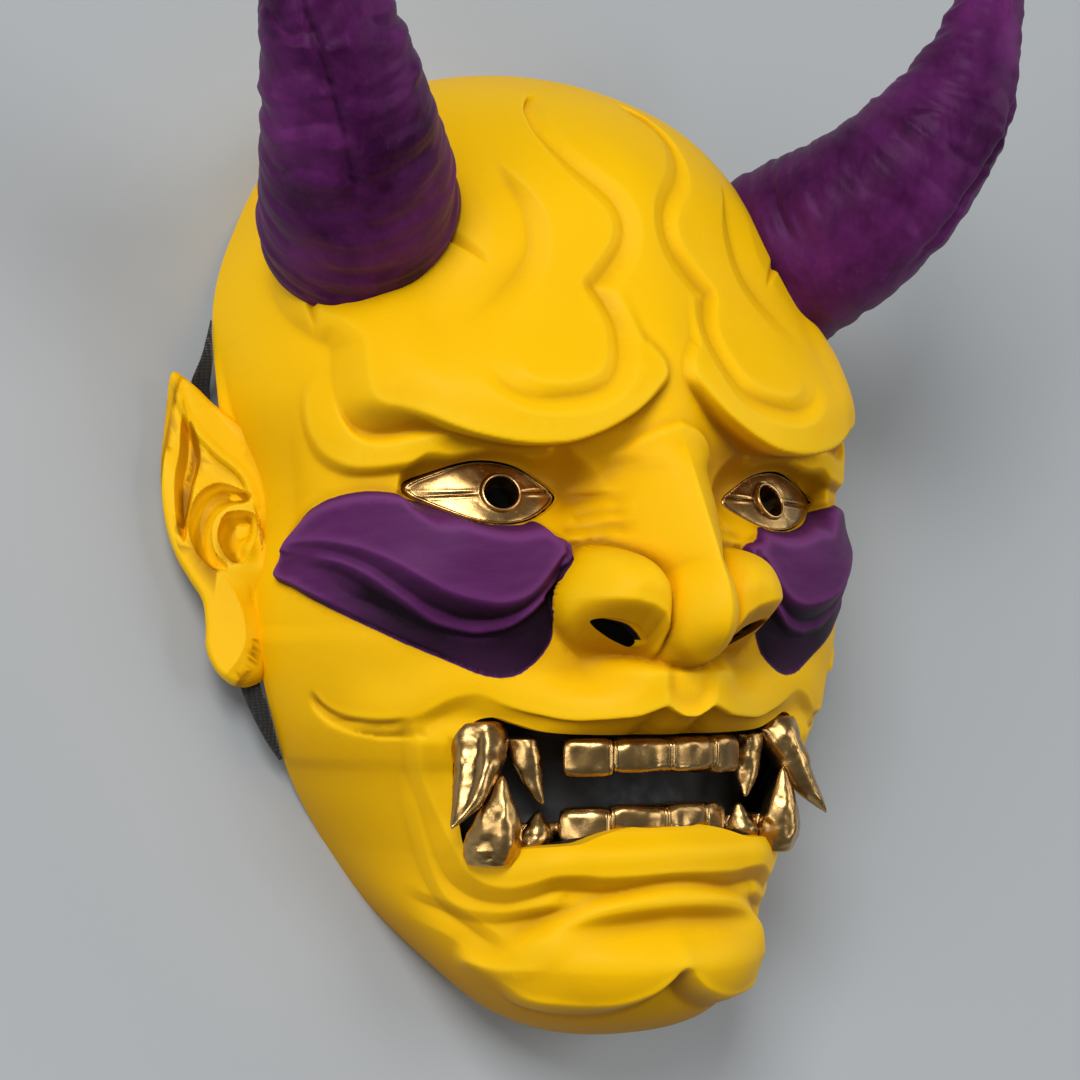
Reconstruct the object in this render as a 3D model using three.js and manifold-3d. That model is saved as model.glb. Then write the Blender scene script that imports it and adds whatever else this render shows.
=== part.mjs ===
import * as THREE from 'three';
import Module from 'manifold-3d';

// Oni mask lying face up. Millimetres. Shapes are worked out in the face frame
// (x to the viewer's right, y towards the crown, z out of the face, origin midway
// between the pupils) and laid on the floor at the end, rim down, crown at +Y.

// Main sizes.
const pupilHalfSpacing = 37;
const wallThickness = 5;
const pieceGap = 0.35;
const panelDish = 6;
const rimLevel = -66;
const rimSlope = -0.2222;
const shellTriangles = 5400;

// Ribs of the head from chin rim to crown rim: midline y, midline z,
// rim half-width, rim y, rim z, fullness of the rib.
const ribs = [
  [-121, -40, 8, -120.5, -40, 2.2],
  [-126, -16, 25, -117, -42, 2.4],
  [-121, 4, 37, -108, -44, 2.4],
  [-106, 12, 48, -97, -46, 2.1],
  [-88, 8, 57, -84, -48, 1.9],
  [-70, 6, 67, -67, -48, 1.9],
  [-50, 8, 74, -50, -45, 2.0],
  [-25, 9, 79, -25, -47, 2.2],
  [0, 9, 80, 0, -54, 2.3],
  [25, 9, 81, 25, -61, 2.4],
  [50, 5, 77, 50, -73, 2.3],
  [75, -3, 66, 73, -82, 2.2],
  [95, -22, 54, 90, -87, 2.2],
  [107, -47, 38, 101, -90, 2.1],
  [111, -72, 22, 107, -91, 2.0],
  [110, -91, 10, 109.5, -91, 2.0],
];

// Carving lines as distance from the midline and height, in millimetres.
const browEdge = [
  [9, 44], [6.5, 36], [6, 28], [8, 20], [14, 15], [24, 11.5], [35, 10.5], [46, 12],
  [56, 15.5], [64, 18.5], [70, 21.5], [72, 28], [72, 34], [78, 38], [88, 46],
  [96, 74], [60, 104], [18, 100], [10, 70],
];
const padGroove = [[17, 92], [18, 80], [12, 73], [7, 66], [7.5, 58], [12, 51], [17, 47]];
const lobeGroove = [[17, 47], [12, 40], [10, 32], [13, 26], [21, 22], [30, 21.5], [39, 24]];
const crescent = [[32, 79], [28, 68], [27, 59], [30, 50], [38, 42], [47, 36.5]];
const hornCrease = [[49, 58], [42, 54.5], [35, 49]];
const browNotch = [[83, 42], [82, 34]];
const lidRoll = [
  [79, 26], [86, 22], [86, 14], [81, 8], [71, 4.5], [62, 5.5], [52, 7.6], [40, 8.6],
  [28, 8.6], [28, 12], [40, 14], [56, 16], [68, 22],
];
const lidValley = [[79, 25], [78, 19], [74.5, 14], [68, 11], [56, 12], [41, 10.2], [30, 10]];
const eyeOutline = [
  [57.5, 0.8], [50, 5.2], [42, 7.4], [34, 6.6], [27.5, 3.6], [22.6, -0.6],
  [27, -4.4], [33, -6.8], [40, -7.3], [48, -5.2],
];
const cheekOutline = [
  [98, -19], [95, -12.5], [88, -6.5], [78, -1.2], [68, 0.2], [59, -2.2], [50, -6.2],
  [41, -7.4], [33, -7], [29, -10], [23.5, -11.5], [25.5, -19.5], [27, -24.5], [26, -31],
  [31, -38], [38, -41.2], [47, -38.5], [60, -34], [76, -27],
];
const cheekCrest = [
  [90, -12.5], [83, -10.8], [76, -11.4], [67, -14.2], [58, -18.6], [51, -22.6], [43, -25.2],
  [37, -24.4], [32, -20], [28, -15.5], [24, -12],
];
const cheekLower = [
  [86, -14], [75, -16], [66, -18.4], [57, -24], [50, -29], [43, -31.2], [36, -30.2], [31, -25],
];
const lipEdge = [
  [0, -48.2], [4, -48.2], [7, -47.6], [15, -49.8], [25, -50.6], [33, -48.2], [39, -45.2],
  [45, -44.2], [50, -45.6], [57, -49], [68, -48.8], [77, -45.6], [81, -42],
];
const mouthOutline = [
  [-8, -55.4], [8, -55.4], [20, -55.2], [30, -54.4], [37, -51.6], [43, -49.6], [48, -52],
  [50.5, -60], [49.5, -70], [46.5, -79], [42, -84.8], [36.5, -85.8], [30.5, -83.4],
  [24, -82.2], [16, -80.6], [9, -77.6], [-8, -77],
];
const mouthRing = [
  [-12, -50], [20, -50], [40, -47], [54, -50], [59.5, -56], [57, -68], [55.5, -80],
  [53, -90], [47, -95.5], [36, -95], [24, -90], [12, -88], [-12, -87.5],
];
const lipGroove = [[50, -88], [43, -90.5], [35, -88.6], [27, -86.4], [15, -87.2], [0, -86.6]];
const cheekFold = [[84, -48], [77, -53], [68, -55.5], [60, -55.5]];
const chinFold = [
  [66, -84], [58, -91], [49, -99], [41, -103.4], [34, -100.6], [25, -95], [14, -91.6], [0, -90.8],
];
const chinPlate = [
  [-9, -93.2], [0, -92.6], [9, -93.4], [18, -96], [27, -100], [35, -103.5], [41, -108], [38, -111.6],
  [31, -112.6], [22, -113.6], [14, -112.6], [6, -108.8], [0, -106.2], [-9, -109],
];
const nostrilOutline = [
  [10.5, -34], [13, -31.6], [17.5, -30], [22, -28.8], [25.5, -28.4],
  [22.5, -31.4], [16.5, -34.6], [12, -35.6],
];
const noseProfile = [
  [26, 15.4], [21.4, 16], [15, 16.6], [5, 22.4], [-5.5, 28.1], [-15.5, 33.3], [-24.4, 35.6],
  [-30, 35], [-34, 32], [-38.2, 25.4], [-40.5, 22.6],
];

// Small curve and distance helpers.
function clamp(v, lo, hi) {
  return Math.max(lo, Math.min(hi, v));
}
function ramp(a, b, v) {
  return clamp((v - a) / (b - a), 0, 1);
}
function ease(a, b, v) {
  const t = ramp(a, b, v);
  return t * t * (3 - 2 * t);
}
function mix(a, b, t) {
  return a + (b - a) * t;
}
function bump(v) {
  return Math.exp(-v * v);
}
function smoothMax(a, b, k) {
  const h = Math.max(k - Math.abs(a - b), 0) / k;
  return Math.max(a, b) + h * h * k * 0.25;
}

function spline(points, perSpan, closed) {
  const last = points.length - 1;
  const spans = closed ? points.length : last;
  const at = (i) => {
    if (closed) {
      return points[(i + points.length) % points.length];
    }
    if (i < 0) {
      return points[0].map((v, k) => 2 * v - points[1][k]);
    }
    if (i > last) {
      return points[last].map((v, k) => 2 * v - points[last - 1][k]);
    }
    return points[i];
  };
  const out = [];
  for (let i = 0; i < spans; i += 1) {
    const p = [at(i - 1), at(i), at(i + 1), at(i + 2)];
    for (let j = 0; j < perSpan; j += 1) {
      const t = j / perSpan;
      out.push(p[0].map((_, k) => 0.5 * (2 * p[1][k] + (p[2][k] - p[0][k]) * t
        + (2 * p[0][k] - 5 * p[1][k] + 4 * p[2][k] - p[3][k]) * t * t
        + (-p[0][k] + 3 * p[1][k] - 3 * p[2][k] + p[3][k]) * t * t * t)));
    }
  }
  if (!closed) {
    out.push(points[last].slice());
  }
  return out;
}

// Distance from (x, y) to a line; positive inside a closed line.
function makeLine(points, closed, perSpan = 6) {
  const line = spline(points, perSpan, closed);
  const xs = line.map((p) => p[0]);
  const ys = line.map((p) => p[1]);
  const margin = 16;
  const box = [Math.min(...xs) - margin, Math.max(...xs) + margin,
    Math.min(...ys) - margin, Math.max(...ys) + margin];
  const count = closed ? line.length : line.length - 1;
  return (x, y) => {
    if (x < box[0] || x > box[1] || y < box[2] || y > box[3]) {
      return { d: closed ? -99 : 99, t: 0, side: 0 };
    }
    let best = 1e9;
    let inside = false;
    let t = 0;
    let side = 0;
    for (let i = 0; i < count; i += 1) {
      const a = line[i];
      const b = line[(i + 1) % line.length];
      const dx = b[0] - a[0];
      const dy = b[1] - a[1];
      const u = clamp(((x - a[0]) * dx + (y - a[1]) * dy) / (dx * dx + dy * dy + 1e-12), 0, 1);
      const ex = x - a[0] - u * dx;
      const ey = y - a[1] - u * dy;
      const q = ex * ex + ey * ey;
      if (q < best) {
        best = q;
        t = (i + u) / count;
        side = Math.sign(dx * ey - dy * ex);
      }
      if (closed && (a[1] > y) !== (b[1] > y) && x < (dx * (y - a[1])) / dy + a[0]) {
        inside = !inside;
      }
    }
    const d = Math.sqrt(best);
    return { d: closed && !inside ? -d : d, t, side };
  };
}

const inBrow = makeLine(browEdge, true);
const onPadGroove = makeLine(padGroove, false);
const onLobeGroove = makeLine(lobeGroove, false);
const onCrescent = makeLine(crescent, false);
const onHornCrease = makeLine(hornCrease, false);
const onBrowNotch = makeLine(browNotch, false);
const inLidRoll = makeLine(lidRoll, true);
const onLidValley = makeLine(lidValley, false);
const inEye = makeLine(eyeOutline, true);
const inCheek = makeLine(cheekOutline, true);
const onCheekCrest = makeLine(cheekCrest, false);
const onCheekLower = makeLine(cheekLower, false);
const onLipEdge = makeLine(lipEdge, false);
const inMouth = makeLine(mouthOutline, true);
const inMouthRing = makeLine(mouthRing, true);
const onLipGroove = makeLine(lipGroove, false);
const onCheekFold = makeLine(cheekFold, false);
const onChinFold = makeLine(chinFold, false);
const inChinPlate = makeLine(chinPlate, true);
const noseLine = spline(noseProfile, 8, false);

function noseRidge(y) {
  if (y >= noseLine[0][0]) {
    return noseLine[0][1];
  }
  for (let i = 0; i < noseLine.length - 1; i += 1) {
    const a = noseLine[i];
    const b = noseLine[i + 1];
    if (y <= a[0] && y >= b[0]) {
      return mix(a[1], b[1], (a[0] - y) / (a[0] - b[0] + 1e-9));
    }
  }
  return noseLine[noseLine.length - 1][1];
}

function eyeSurface(x, y) {
  const a = Math.abs(x) - 38.7;
  return -1.4 - 0.27 * a - 0.378 * (y - 0.25) - 5 * (a / 16.8) ** 2;
}

// Height of the carving over the plain head at a (distance from the midline) and y.
// Returns the lift along the surface direction and a shift in y for overhangs.
function carve(x, a, y, baseZ) {
  let h = 0;
  let dy = 0;

  // forehead channel and glabella
  h += 6.6 * bump(x / 13) * ease(56, 27, y) * ease(-6, 14, y);
  h += 1.6 * bump(x / 9) * ease(95, 78, y) * ease(40, 56, y);

  // hollow of the orbit, below the brow
  const orbit = bump((a - 33) / 19) * bump((y - 4) / 9);
  h -= 6.5 * orbit;

  // brow plates with their overhanging lower edge
  const brow = inBrow(a, y);
  const browHeight = 9.4 * ease(60, 12, y) * mix(1, 0.72, ease(52, 72, a)) + 0.3;
  const centre = bump(a / 12);
  const browStep = ease(-0.7, 1.1, brow.d);
  h += browStep * (browHeight + 6.5 * orbit - 4.2 * centre * ease(50, 20, y));
  h += browStep * 1.2 * ease(0, 9, brow.d) * ease(40, 24, y);
  dy -= 2.6 * ease(-2, 0.6, brow.d) * ease(4, 0.6, brow.d) * ease(26, 14, y);

  // grooves of the forehead
  const grooveAt = (q, width, depth) => -depth * ramp(width, 0, q.d) ** 1.3;
  const taper = (t) => ease(0, 0.22, t) * ease(1, 0.8, t);
  const pg = onPadGroove(a, y);
  const lg = onLobeGroove(a, y);
  h += Math.min(grooveAt(pg, 3.6, 2.8 * ease(0, 0.12, pg.t)), grooveAt(lg, 3.6, 3 * ease(1, 0.7, lg.t)));
  const cr = onCrescent(a, y);
  h += grooveAt(cr, 4, 2.6 * taper(cr.t));
  const hc = onHornCrease(a, y);
  h += grooveAt(hc, 2.4, 2 * ease(1, 0.7, hc.t));
  const bn = onBrowNotch(a, y);
  h += grooveAt(bn, 2.6, 2.4 * ease(1, 0.5, bn.t));

  // roll over the upper lid
  const roll = inLidRoll(a, y);
  const rollHeight = mix(1.6, 3.2, ease(44, 66, a));
  h += (1 - browStep) * rollHeight * ease(-0.9, 2.2, roll.d);
  const valley = onLidValley(a, y);
  h -= 2.6 * ease(2.8, 0, valley.d) * (1 - browStep);

  // nose: ridge, flanks and wings as one target height
  const zNow = baseZ + h;
  const ridge = noseRidge(y);
  const flankWidth = mix(11, 24, ease(16, -26, y));
  const top = mix(2.5, 4.2, ease(10, -24, y));
  const side = ramp(top, flankWidth, a);
  const flank = ridge - (ridge - zNow + 3) * (0.35 * side + 0.65 * ease(0, 1, side));
  const noseOn = ease(24, 14, y) * ease(-42.5, -38.5, y);
  let z = zNow;
  if (a < flankWidth + 2 && noseOn > 0) {
    z = mix(z, smoothMax(z, flank, 2), noseOn);
  }
  const wx = (a - 17) / 13.8;
  const wy = (y + 22.6) / (y > -22.6 ? 14.6 : 12.4);
  const wr = wx * wx + wy * wy;
  if (wr < 1) {
    z = smoothMax(z, 9 + 19 * Math.sqrt(1 - wr), 3);
  }
  const tx = a / 8.6;
  const ty = (y + 26) / 12;
  const tr = tx * tx + ty * ty;
  if (tr < 1) {
    z = smoothMax(z, 20 + 16 * Math.sqrt(1 - tr), 2);
  }
  h += z - zNow;

  // folds beside the nose
  const fold = (y0, y1) => bump((y - mix(y0, y1, ramp(20, 10, a))) / 1.3);
  h -= 1.1 * fold(-0.5, -1.2) * ease(8, 11, a) * ease(24, 19, a);
  h -= 1.1 * fold(-5.2, -5.6) * ease(8, 11, a) * ease(24, 19, a);

  // upper lip and muzzle: lifted to its sharp lower edge, cut back below it
  const lip = onLipEdge(a, y);
  const over = lip.side > 0 ? lip.d : -lip.d;
  if (y < -30 && y > -64) {
    const lipLift = (1.8 + 5 * ease(48, 8, a) + 7.4 * bump(a / 22)) * ease(84, 70, a);
    const fall = mix(ease(13, 0.4, over), 1, ease(22, 9, a)) * mix(1, ease(-34, -41, y), ease(30, 20, a));
    const foot = mix(ease(-2.6, 0, over), 1 - 0.42 * ramp(-0.2, -5.6, over), ease(52, 42, a));
    const body = baseZ + lipLift * (over > 0 ? fall : foot * ease(-7, -5.6, over));
    h += smoothMax(z, body, 1.6) - z;
    dy -= 1.4 * ease(3, 0.2, over) * ease(-1.6, 0.2, over) * ease(46, 30, a) * ease(-44, -47, y);
  }
  h -= 1.7 * ease(5, 3, a) * ease(-39, -41.5, y) * ease(-51, -48.5, y);

  // ring of the mouth, lower lip and the folds round them
  const ring = inMouthRing(a, y);
  h += 2.8 * ease(-1.1, 0.9, ring.d) * ease(9, 1, ring.d) * ease(-50, -58, y) * ease(26, 38, a);
  h += 4.2 * ease(46, 22, a) * ease(-73, -77, y) * ease(-101, -94, y);
  h += 1.2 * bump((y + 81 + 0.06 * a) / 3.6) * ease(48, 34, a);
  h -= 2.4 * ease(2.8, 0, onLipGroove(a, y).d) ** 1.2;
  const cf = onCheekFold(a, y);
  h -= 1.7 * ease(2.4, 0, cf.d) * ease(0, 0.2, cf.t);
  const chf = onChinFold(a, y);
  h += 2.2 * ease(5.5, 0, chf.d) * ease(0, 0.25, chf.t) * (chf.side < 0 ? 1 : ease(2.2, 0, chf.d));

  // chin plate
  const chin = inChinPlate(a, y);
  const chinRise = mix(3.4, 6.4, ease(-93, -106, y));
  h += chinRise * ease(-1.2, 1, chin.d) * mix(1, 0.8, ease(4, 36, a));
  h += 0.8 * bump(a / 4) * ease(-94, -104, y) * ease(-108, -106, y);

  // cheek plates
  const cheek = inCheek(a, y);
  if (cheek.d > -6) {
    const inCh = ease(-0.4, 0.9, cheek.d);
    const crest = onCheekCrest(a, y);
    const lower = onCheekLower(a, y);
    const above = crest.side > 0 ? crest.d : -crest.d;
    const under = lower.side > 0 ? -lower.d : lower.d;
    let ch = 2 + 4.2 * bump((a - 58) / 22) * bump((y + 17) / 14) * ease(0, 9, cheek.d);
    ch += 2.4 * ease(-2, 0.3, above) * ease(93, 85, a);
    ch += 1.2 * ease(2.4, 0, lower.d) * ease(90, 80, a);
    ch -= 3.4 * ease(0, 8, under) * ease(92, 60, a) * ease(0, 4, cheek.d);
    h += inCh * ch;
    const ramped = ease(-6, 0, cheek.d) * (1 - inCh);
    h += ramped * 0.4;
  }

  // eye sockets
  const eye = inEye(a, y);
  if (eye.d > -11) {
    const target = eyeSurface(a, y) + 0.9;
    const inner = ease(30, 22, a);
    const outer = ease(48, 58, a);
    const width = 2.2 + 6.5 * inner + 4 * outer + (y < 0 ? 0.6 : 0);
    const t = ease(0.4, -width, eye.d);
    h = mix(Math.min(target - baseZ, h), h, t);
  }
  return { h, dy };
}

// The carved outer surface of the shell.
function ribTable() {
  const dense = spline(ribs, 16, false);
  const cum = [0];
  for (let i = 1; i < dense.length; i += 1) {
    const a = dense[i - 1];
    const b = dense[i];
    const mid = Math.hypot(b[0] - a[0], b[1] - a[1]);
    const rim = Math.hypot(b[2] - a[2], b[3] - a[3], b[4] - a[4]);
    cum.push(cum[i - 1] + 0.6 * mid + 0.4 * rim);
  }
  return (v) => {
    const want = v * cum[cum.length - 1];
    let i = 1;
    while (i < cum.length - 1 && cum[i] < want) {
      i += 1;
    }
    const t = clamp((want - cum[i - 1]) / (cum[i] - cum[i - 1]), 0, 1);
    return dense[i].map((val, k) => mix(dense[i - 1][k], val, t));
  };
}

function rimPlane(y) {
  return rimLevel + rimSlope * y;
}

// Grid of points: rows from chin to crown, columns from x- rim to x+ rim.
function plainHead(cols, rows) {
  const rib = ribTable();
  const grid = [];
  const steps = 160;
  for (let j = 0; j <= rows; j += 1) {
    const [my, mz, rx, ry, rzRaw, n] = rib(j / rows);
    const rz = Math.max(rzRaw, rimPlane(ry));
    const mzz = Math.max(mz, rimPlane(my));
    const curve = [];
    let len = 0;
    for (let i = 0; i <= steps; i += 1) {
      const phi = (Math.PI / 2) * (i / steps);
      const w = 1 - Math.cos(phi) ** (2 / n);
      const p = [rx * Math.sin(phi) ** (2 / n), mix(my, ry, w), mix(mzz, rz, w)];
      if (i > 0) {
        const q = curve[i - 1].p;
        len += Math.hypot(p[0] - q[0], p[1] - q[1], p[2] - q[2]);
      }
      curve.push({ p, len });
    }
    const half = [];
    let k = 1;
    for (let i = 0; i <= cols; i += 1) {
      const want = (i / cols) * len;
      while (k < steps && curve[k].len < want) {
        k += 1;
      }
      const a = curve[k - 1];
      const b = curve[k];
      const t = clamp((want - a.len) / (b.len - a.len), 0, 1);
      half.push({ p: a.p.map((v, m) => mix(v, b.p[m], t)), s: want });
    }
    const row = [];
    for (let i = cols; i > 0; i -= 1) {
      const q = half[i];
      row.push({ p: [-q.p[0], q.p[1], q.p[2]], s: q.s });
    }
    half.forEach((q) => row.push(q));
    grid.push(row);
  }
  return grid;
}

function gridNormal(grid, j, i) {
  const rows = grid.length - 1;
  const cols = grid[0].length - 1;
  const u0 = grid[j][Math.max(i - 1, 0)].p;
  const u1 = grid[j][Math.min(i + 1, cols)].p;
  const v0 = grid[Math.max(j - 1, 0)][i].p;
  const v1 = grid[Math.min(j + 1, rows)][i].p;
  const du = new THREE.Vector3(u1[0] - u0[0], u1[1] - u0[1], u1[2] - u0[2]);
  const dv = new THREE.Vector3(v1[0] - v0[0], v1[1] - v0[1], v1[2] - v0[2]);
  return du.cross(dv).normalize();
}

function carvedHead(cols, rows) {
  const grid = plainHead(cols, rows);
  return grid.map((row, j) => row.map((q, i) => {
    const n = gridNormal(grid, j, i);
    const front = ease(0.15, 0.75, n.z);
    const dir = n.clone().lerp(new THREE.Vector3(0, 0, 1), front).normalize();
    const edge = Math.min(i, row.length - 1 - i, j, grid.length - 1 - j);
    const hold = ease(0, 3, edge);
    const c = carve(q.p[0], q.s, q.p[1], q.p[2]);
    return {
      p: [q.p[0] + dir.x * c.h * hold, q.p[1] + (dir.y * c.h + c.dy) * hold, q.p[2] + dir.z * c.h * hold],
      s: q.s,
    };
  }));
}

// Closed bodies as point and face lists, and the solids made from them.
const wasm = await Module();
wasm.setup();

function toSolid(body) {
  return new wasm.Manifold(new wasm.Mesh({
    numProp: 3,
    vertProperties: new Float32Array(body.points.flat()),
    triVerts: new Uint32Array(body.faces.flat()),
  }));
}

function fromSolid(solid) {
  const m = solid.getMesh();
  const points = [];
  for (let i = 0; i < m.vertProperties.length; i += m.numProp) {
    points.push([m.vertProperties[i], m.vertProperties[i + 1], m.vertProperties[i + 2]]);
  }
  const faces = [];
  for (let i = 0; i < m.triVerts.length; i += 3) {
    faces.push([m.triVerts[i], m.triVerts[i + 1], m.triVerts[i + 2]]);
  }
  return { points, faces };
}

// Closed skin between two grids of equal size: the first faces out, the second in.
function skin(outer, inner) {
  const rows = outer.length;
  const cols = outer[0].length;
  const points = outer.flat().concat(inner.flat());
  const at = (layer, j, i) => layer * rows * cols + j * cols + i;
  const faces = [];
  for (let j = 0; j < rows - 1; j += 1) {
    for (let i = 0; i < cols - 1; i += 1) {
      const o = [at(0, j, i), at(0, j, i + 1), at(0, j + 1, i + 1), at(0, j + 1, i)];
      const n = [at(1, j, i), at(1, j, i + 1), at(1, j + 1, i + 1), at(1, j + 1, i)];
      faces.push([o[0], o[1], o[2]], [o[0], o[2], o[3]]);
      faces.push([n[0], n[2], n[1]], [n[0], n[3], n[2]]);
    }
  }
  const loop = [];
  for (let i = 0; i < cols - 1; i += 1) {
    loop.push([0, i]);
  }
  for (let j = 0; j < rows - 1; j += 1) {
    loop.push([j, cols - 1]);
  }
  for (let i = cols - 1; i > 0; i -= 1) {
    loop.push([rows - 1, i]);
  }
  for (let j = rows - 1; j > 0; j -= 1) {
    loop.push([j, 0]);
  }
  loop.forEach((p, k) => {
    const q = loop[(k + 1) % loop.length];
    const a = at(0, p[0], p[1]);
    const b = at(0, q[0], q[1]);
    const c = at(1, q[0], q[1]);
    const d = at(1, p[0], p[1]);
    faces.push([b, a, d], [b, d, c]);
  });
  return { points, faces };
}

function smoothGrid(grid, passes, keep = 0.2) {
  let g = grid.map((row) => row.map((p) => p.slice()));
  for (let k = 0; k < passes; k += 1) {
    g = g.map((row, j) => row.map((p, i) => {
      const inside = j > 0 && j < g.length - 1 && i > 0 && i < row.length - 1;
      if (!inside) {
        return p;
      }
      const near = [g[j - 1][i], g[j + 1][i], row[i - 1], row[i + 1]];
      return p.map((v, m) => keep * v
        + ((1 - keep) / 4) * (near[0][m] + near[1][m] + near[2][m] + near[3][m]));
    }));
  }
  return g;
}

// Inside of the shell: the softened outside moved in by the wall thickness.
function innerSkin(outer) {
  const soft = smoothGrid(outer, 30);
  const rows = outer.length;
  const cols = outer[0].length;
  const asGrid = soft.map((row) => row.map((p) => ({ p })));
  const rough = soft.map((row, j) => row.map((p, i) => {
    const n = gridNormal(asGrid, j, i);
    const edge = Math.min(i, cols - 1 - i, j, rows - 1 - j);
    const o = outer[j][i];
    if (edge === 0) {
      const side = new THREE.Vector3(n.x, n.y + rimSlope * -n.z, 0);
      side.normalize();
      const q = [o[0] - side.x * wallThickness, o[1] - side.y * wallThickness, 0];
      q[2] = o[2] + rimSlope * (q[1] - o[1]);
      return q;
    }
    let t = wallThickness;
    let q = [p[0] - n.x * t, p[1] - n.y * t, p[2] - n.z * t];
    const gapTo = () => {
      let best = 1e9;
      for (let dj = -6; dj <= 6; dj += 2) {
        for (let di = -6; di <= 6; di += 2) {
          const r = outer[clamp(j + dj, 0, rows - 1)][clamp(i + di, 0, cols - 1)];
          best = Math.min(best, Math.hypot(r[0] - q[0], r[1] - q[1], r[2] - q[2]));
        }
      }
      return best;
    };
    const least = edge < 3 ? 2.6 : 3.6;
    for (let k = 0; k < 12 && gapTo() < least; k += 1) {
      t += 0.8;
      q = [p[0] - n.x * t, p[1] - n.y * t, p[2] - n.z * t];
    }
    q[2] = Math.max(q[2], rimPlane(q[1]) + (edge < 3 ? 0.5 + edge : 1.5));
    return q;
  }));
  return smoothGrid(rough, 10);
}

// Straight prism over a closed outline in (x, y), from z0 to z1, tilted towards +x by lean.
function prism(outline, perSpan, z0, z1, lean = 0, offset = 0) {
  let line = spline(outline, perSpan, true);
  let area = 0;
  line.forEach((p, i) => {
    const q = line[(i + 1) % line.length];
    area += p[0] * q[1] - q[0] * p[1];
  });
  if (area < 0) {
    line = line.reverse();
  }
  const n = line.length;
  const moved = line.map((p, i) => {
    const a = line[(i + n - 1) % n];
    const b = line[(i + 1) % n];
    const len = Math.hypot(b[0] - a[0], b[1] - a[1]);
    return [p[0] + ((b[1] - a[1]) / len) * offset, p[1] - ((b[0] - a[0]) / len) * offset];
  });
  const points = [];
  moved.forEach((p) => points.push([p[0] + lean * z0, p[1], z0]));
  moved.forEach((p) => points.push([p[0] + lean * z1, p[1], z1]));
  const flat = THREE.ShapeUtils.triangulateShape(moved.map((p) => new THREE.Vector2(p[0], p[1])), []);
  const faces = [];
  flat.forEach((f) => {
    faces.push([f[0], f[2], f[1]]);
    faces.push([f[0] + n, f[1] + n, f[2] + n]);
  });
  for (let i = 0; i < n; i += 1) {
    const k = (i + 1) % n;
    faces.push([i, k, k + n], [i, k + n, i + n]);
  }
  return { points, faces };
}

// The largest connected skin of a body.
function mainSkin(body) {
  const parent = body.points.map((_, i) => i);
  const find = (i) => {
    let r = i;
    while (parent[r] !== r) {
      parent[r] = parent[parent[r]];
      r = parent[r];
    }
    return r;
  };
  body.faces.forEach((f) => {
    parent[find(f[1])] = find(f[0]);
    parent[find(f[2])] = find(f[0]);
  });
  const count = new Map();
  body.faces.forEach((f) => count.set(find(f[0]), (count.get(find(f[0])) || 0) + 1));
  const best = [...count.entries()].sort((a, b) => b[1] - a[1])[0][0];
  return { points: body.points, faces: body.faces.filter((f) => find(f[0]) === best) };
}

// The left half of a body joined to its own mirror image.
function bothSides(body) {
  const far = 500;
  const corner = (x) => [[x, -far, -far], [x, far, -far], [x, far, far], [x, -far, far]];
  const box = loft([corner(0), corner(far)], [0, 0, 0], [far, 0, 0]);
  const half = fromSolid(toSolid(body).intersect(toSolid(outward(box))));
  return fromSolid(toSolid(half).add(toSolid(mirrorX(half))));
}

function outward(body) {
  const s = toSolid(body);
  if (s.volume() > 0) {
    return body;
  }
  return { points: body.points, faces: body.faces.map((f) => [f[0], f[2], f[1]]) };
}

function mirrorX(body) {
  return {
    points: body.points.map((p) => [-p[0], p[1], p[2]]),
    faces: body.faces.map((f) => [f[0], f[2], f[1]]),
  };
}

// Body lofted through rings of equal size, closed with a point at each end.
function loft(rings, start, end) {
  const n = rings[0].length;
  const points = rings.flat();
  const a = points.push(start) - 1;
  const b = points.push(end) - 1;
  const faces = [];
  for (let j = 0; j < rings.length - 1; j += 1) {
    for (let i = 0; i < n; i += 1) {
      const k = (i + 1) % n;
      const p = j * n;
      faces.push([p + i, p + k, p + n + k], [p + i, p + n + k, p + n + i]);
    }
  }
  for (let i = 0; i < n; i += 1) {
    const k = (i + 1) % n;
    const p = (rings.length - 1) * n;
    faces.push([k, i, a], [p + i, p + k, b]);
  }
  return { points, faces };
}

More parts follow.
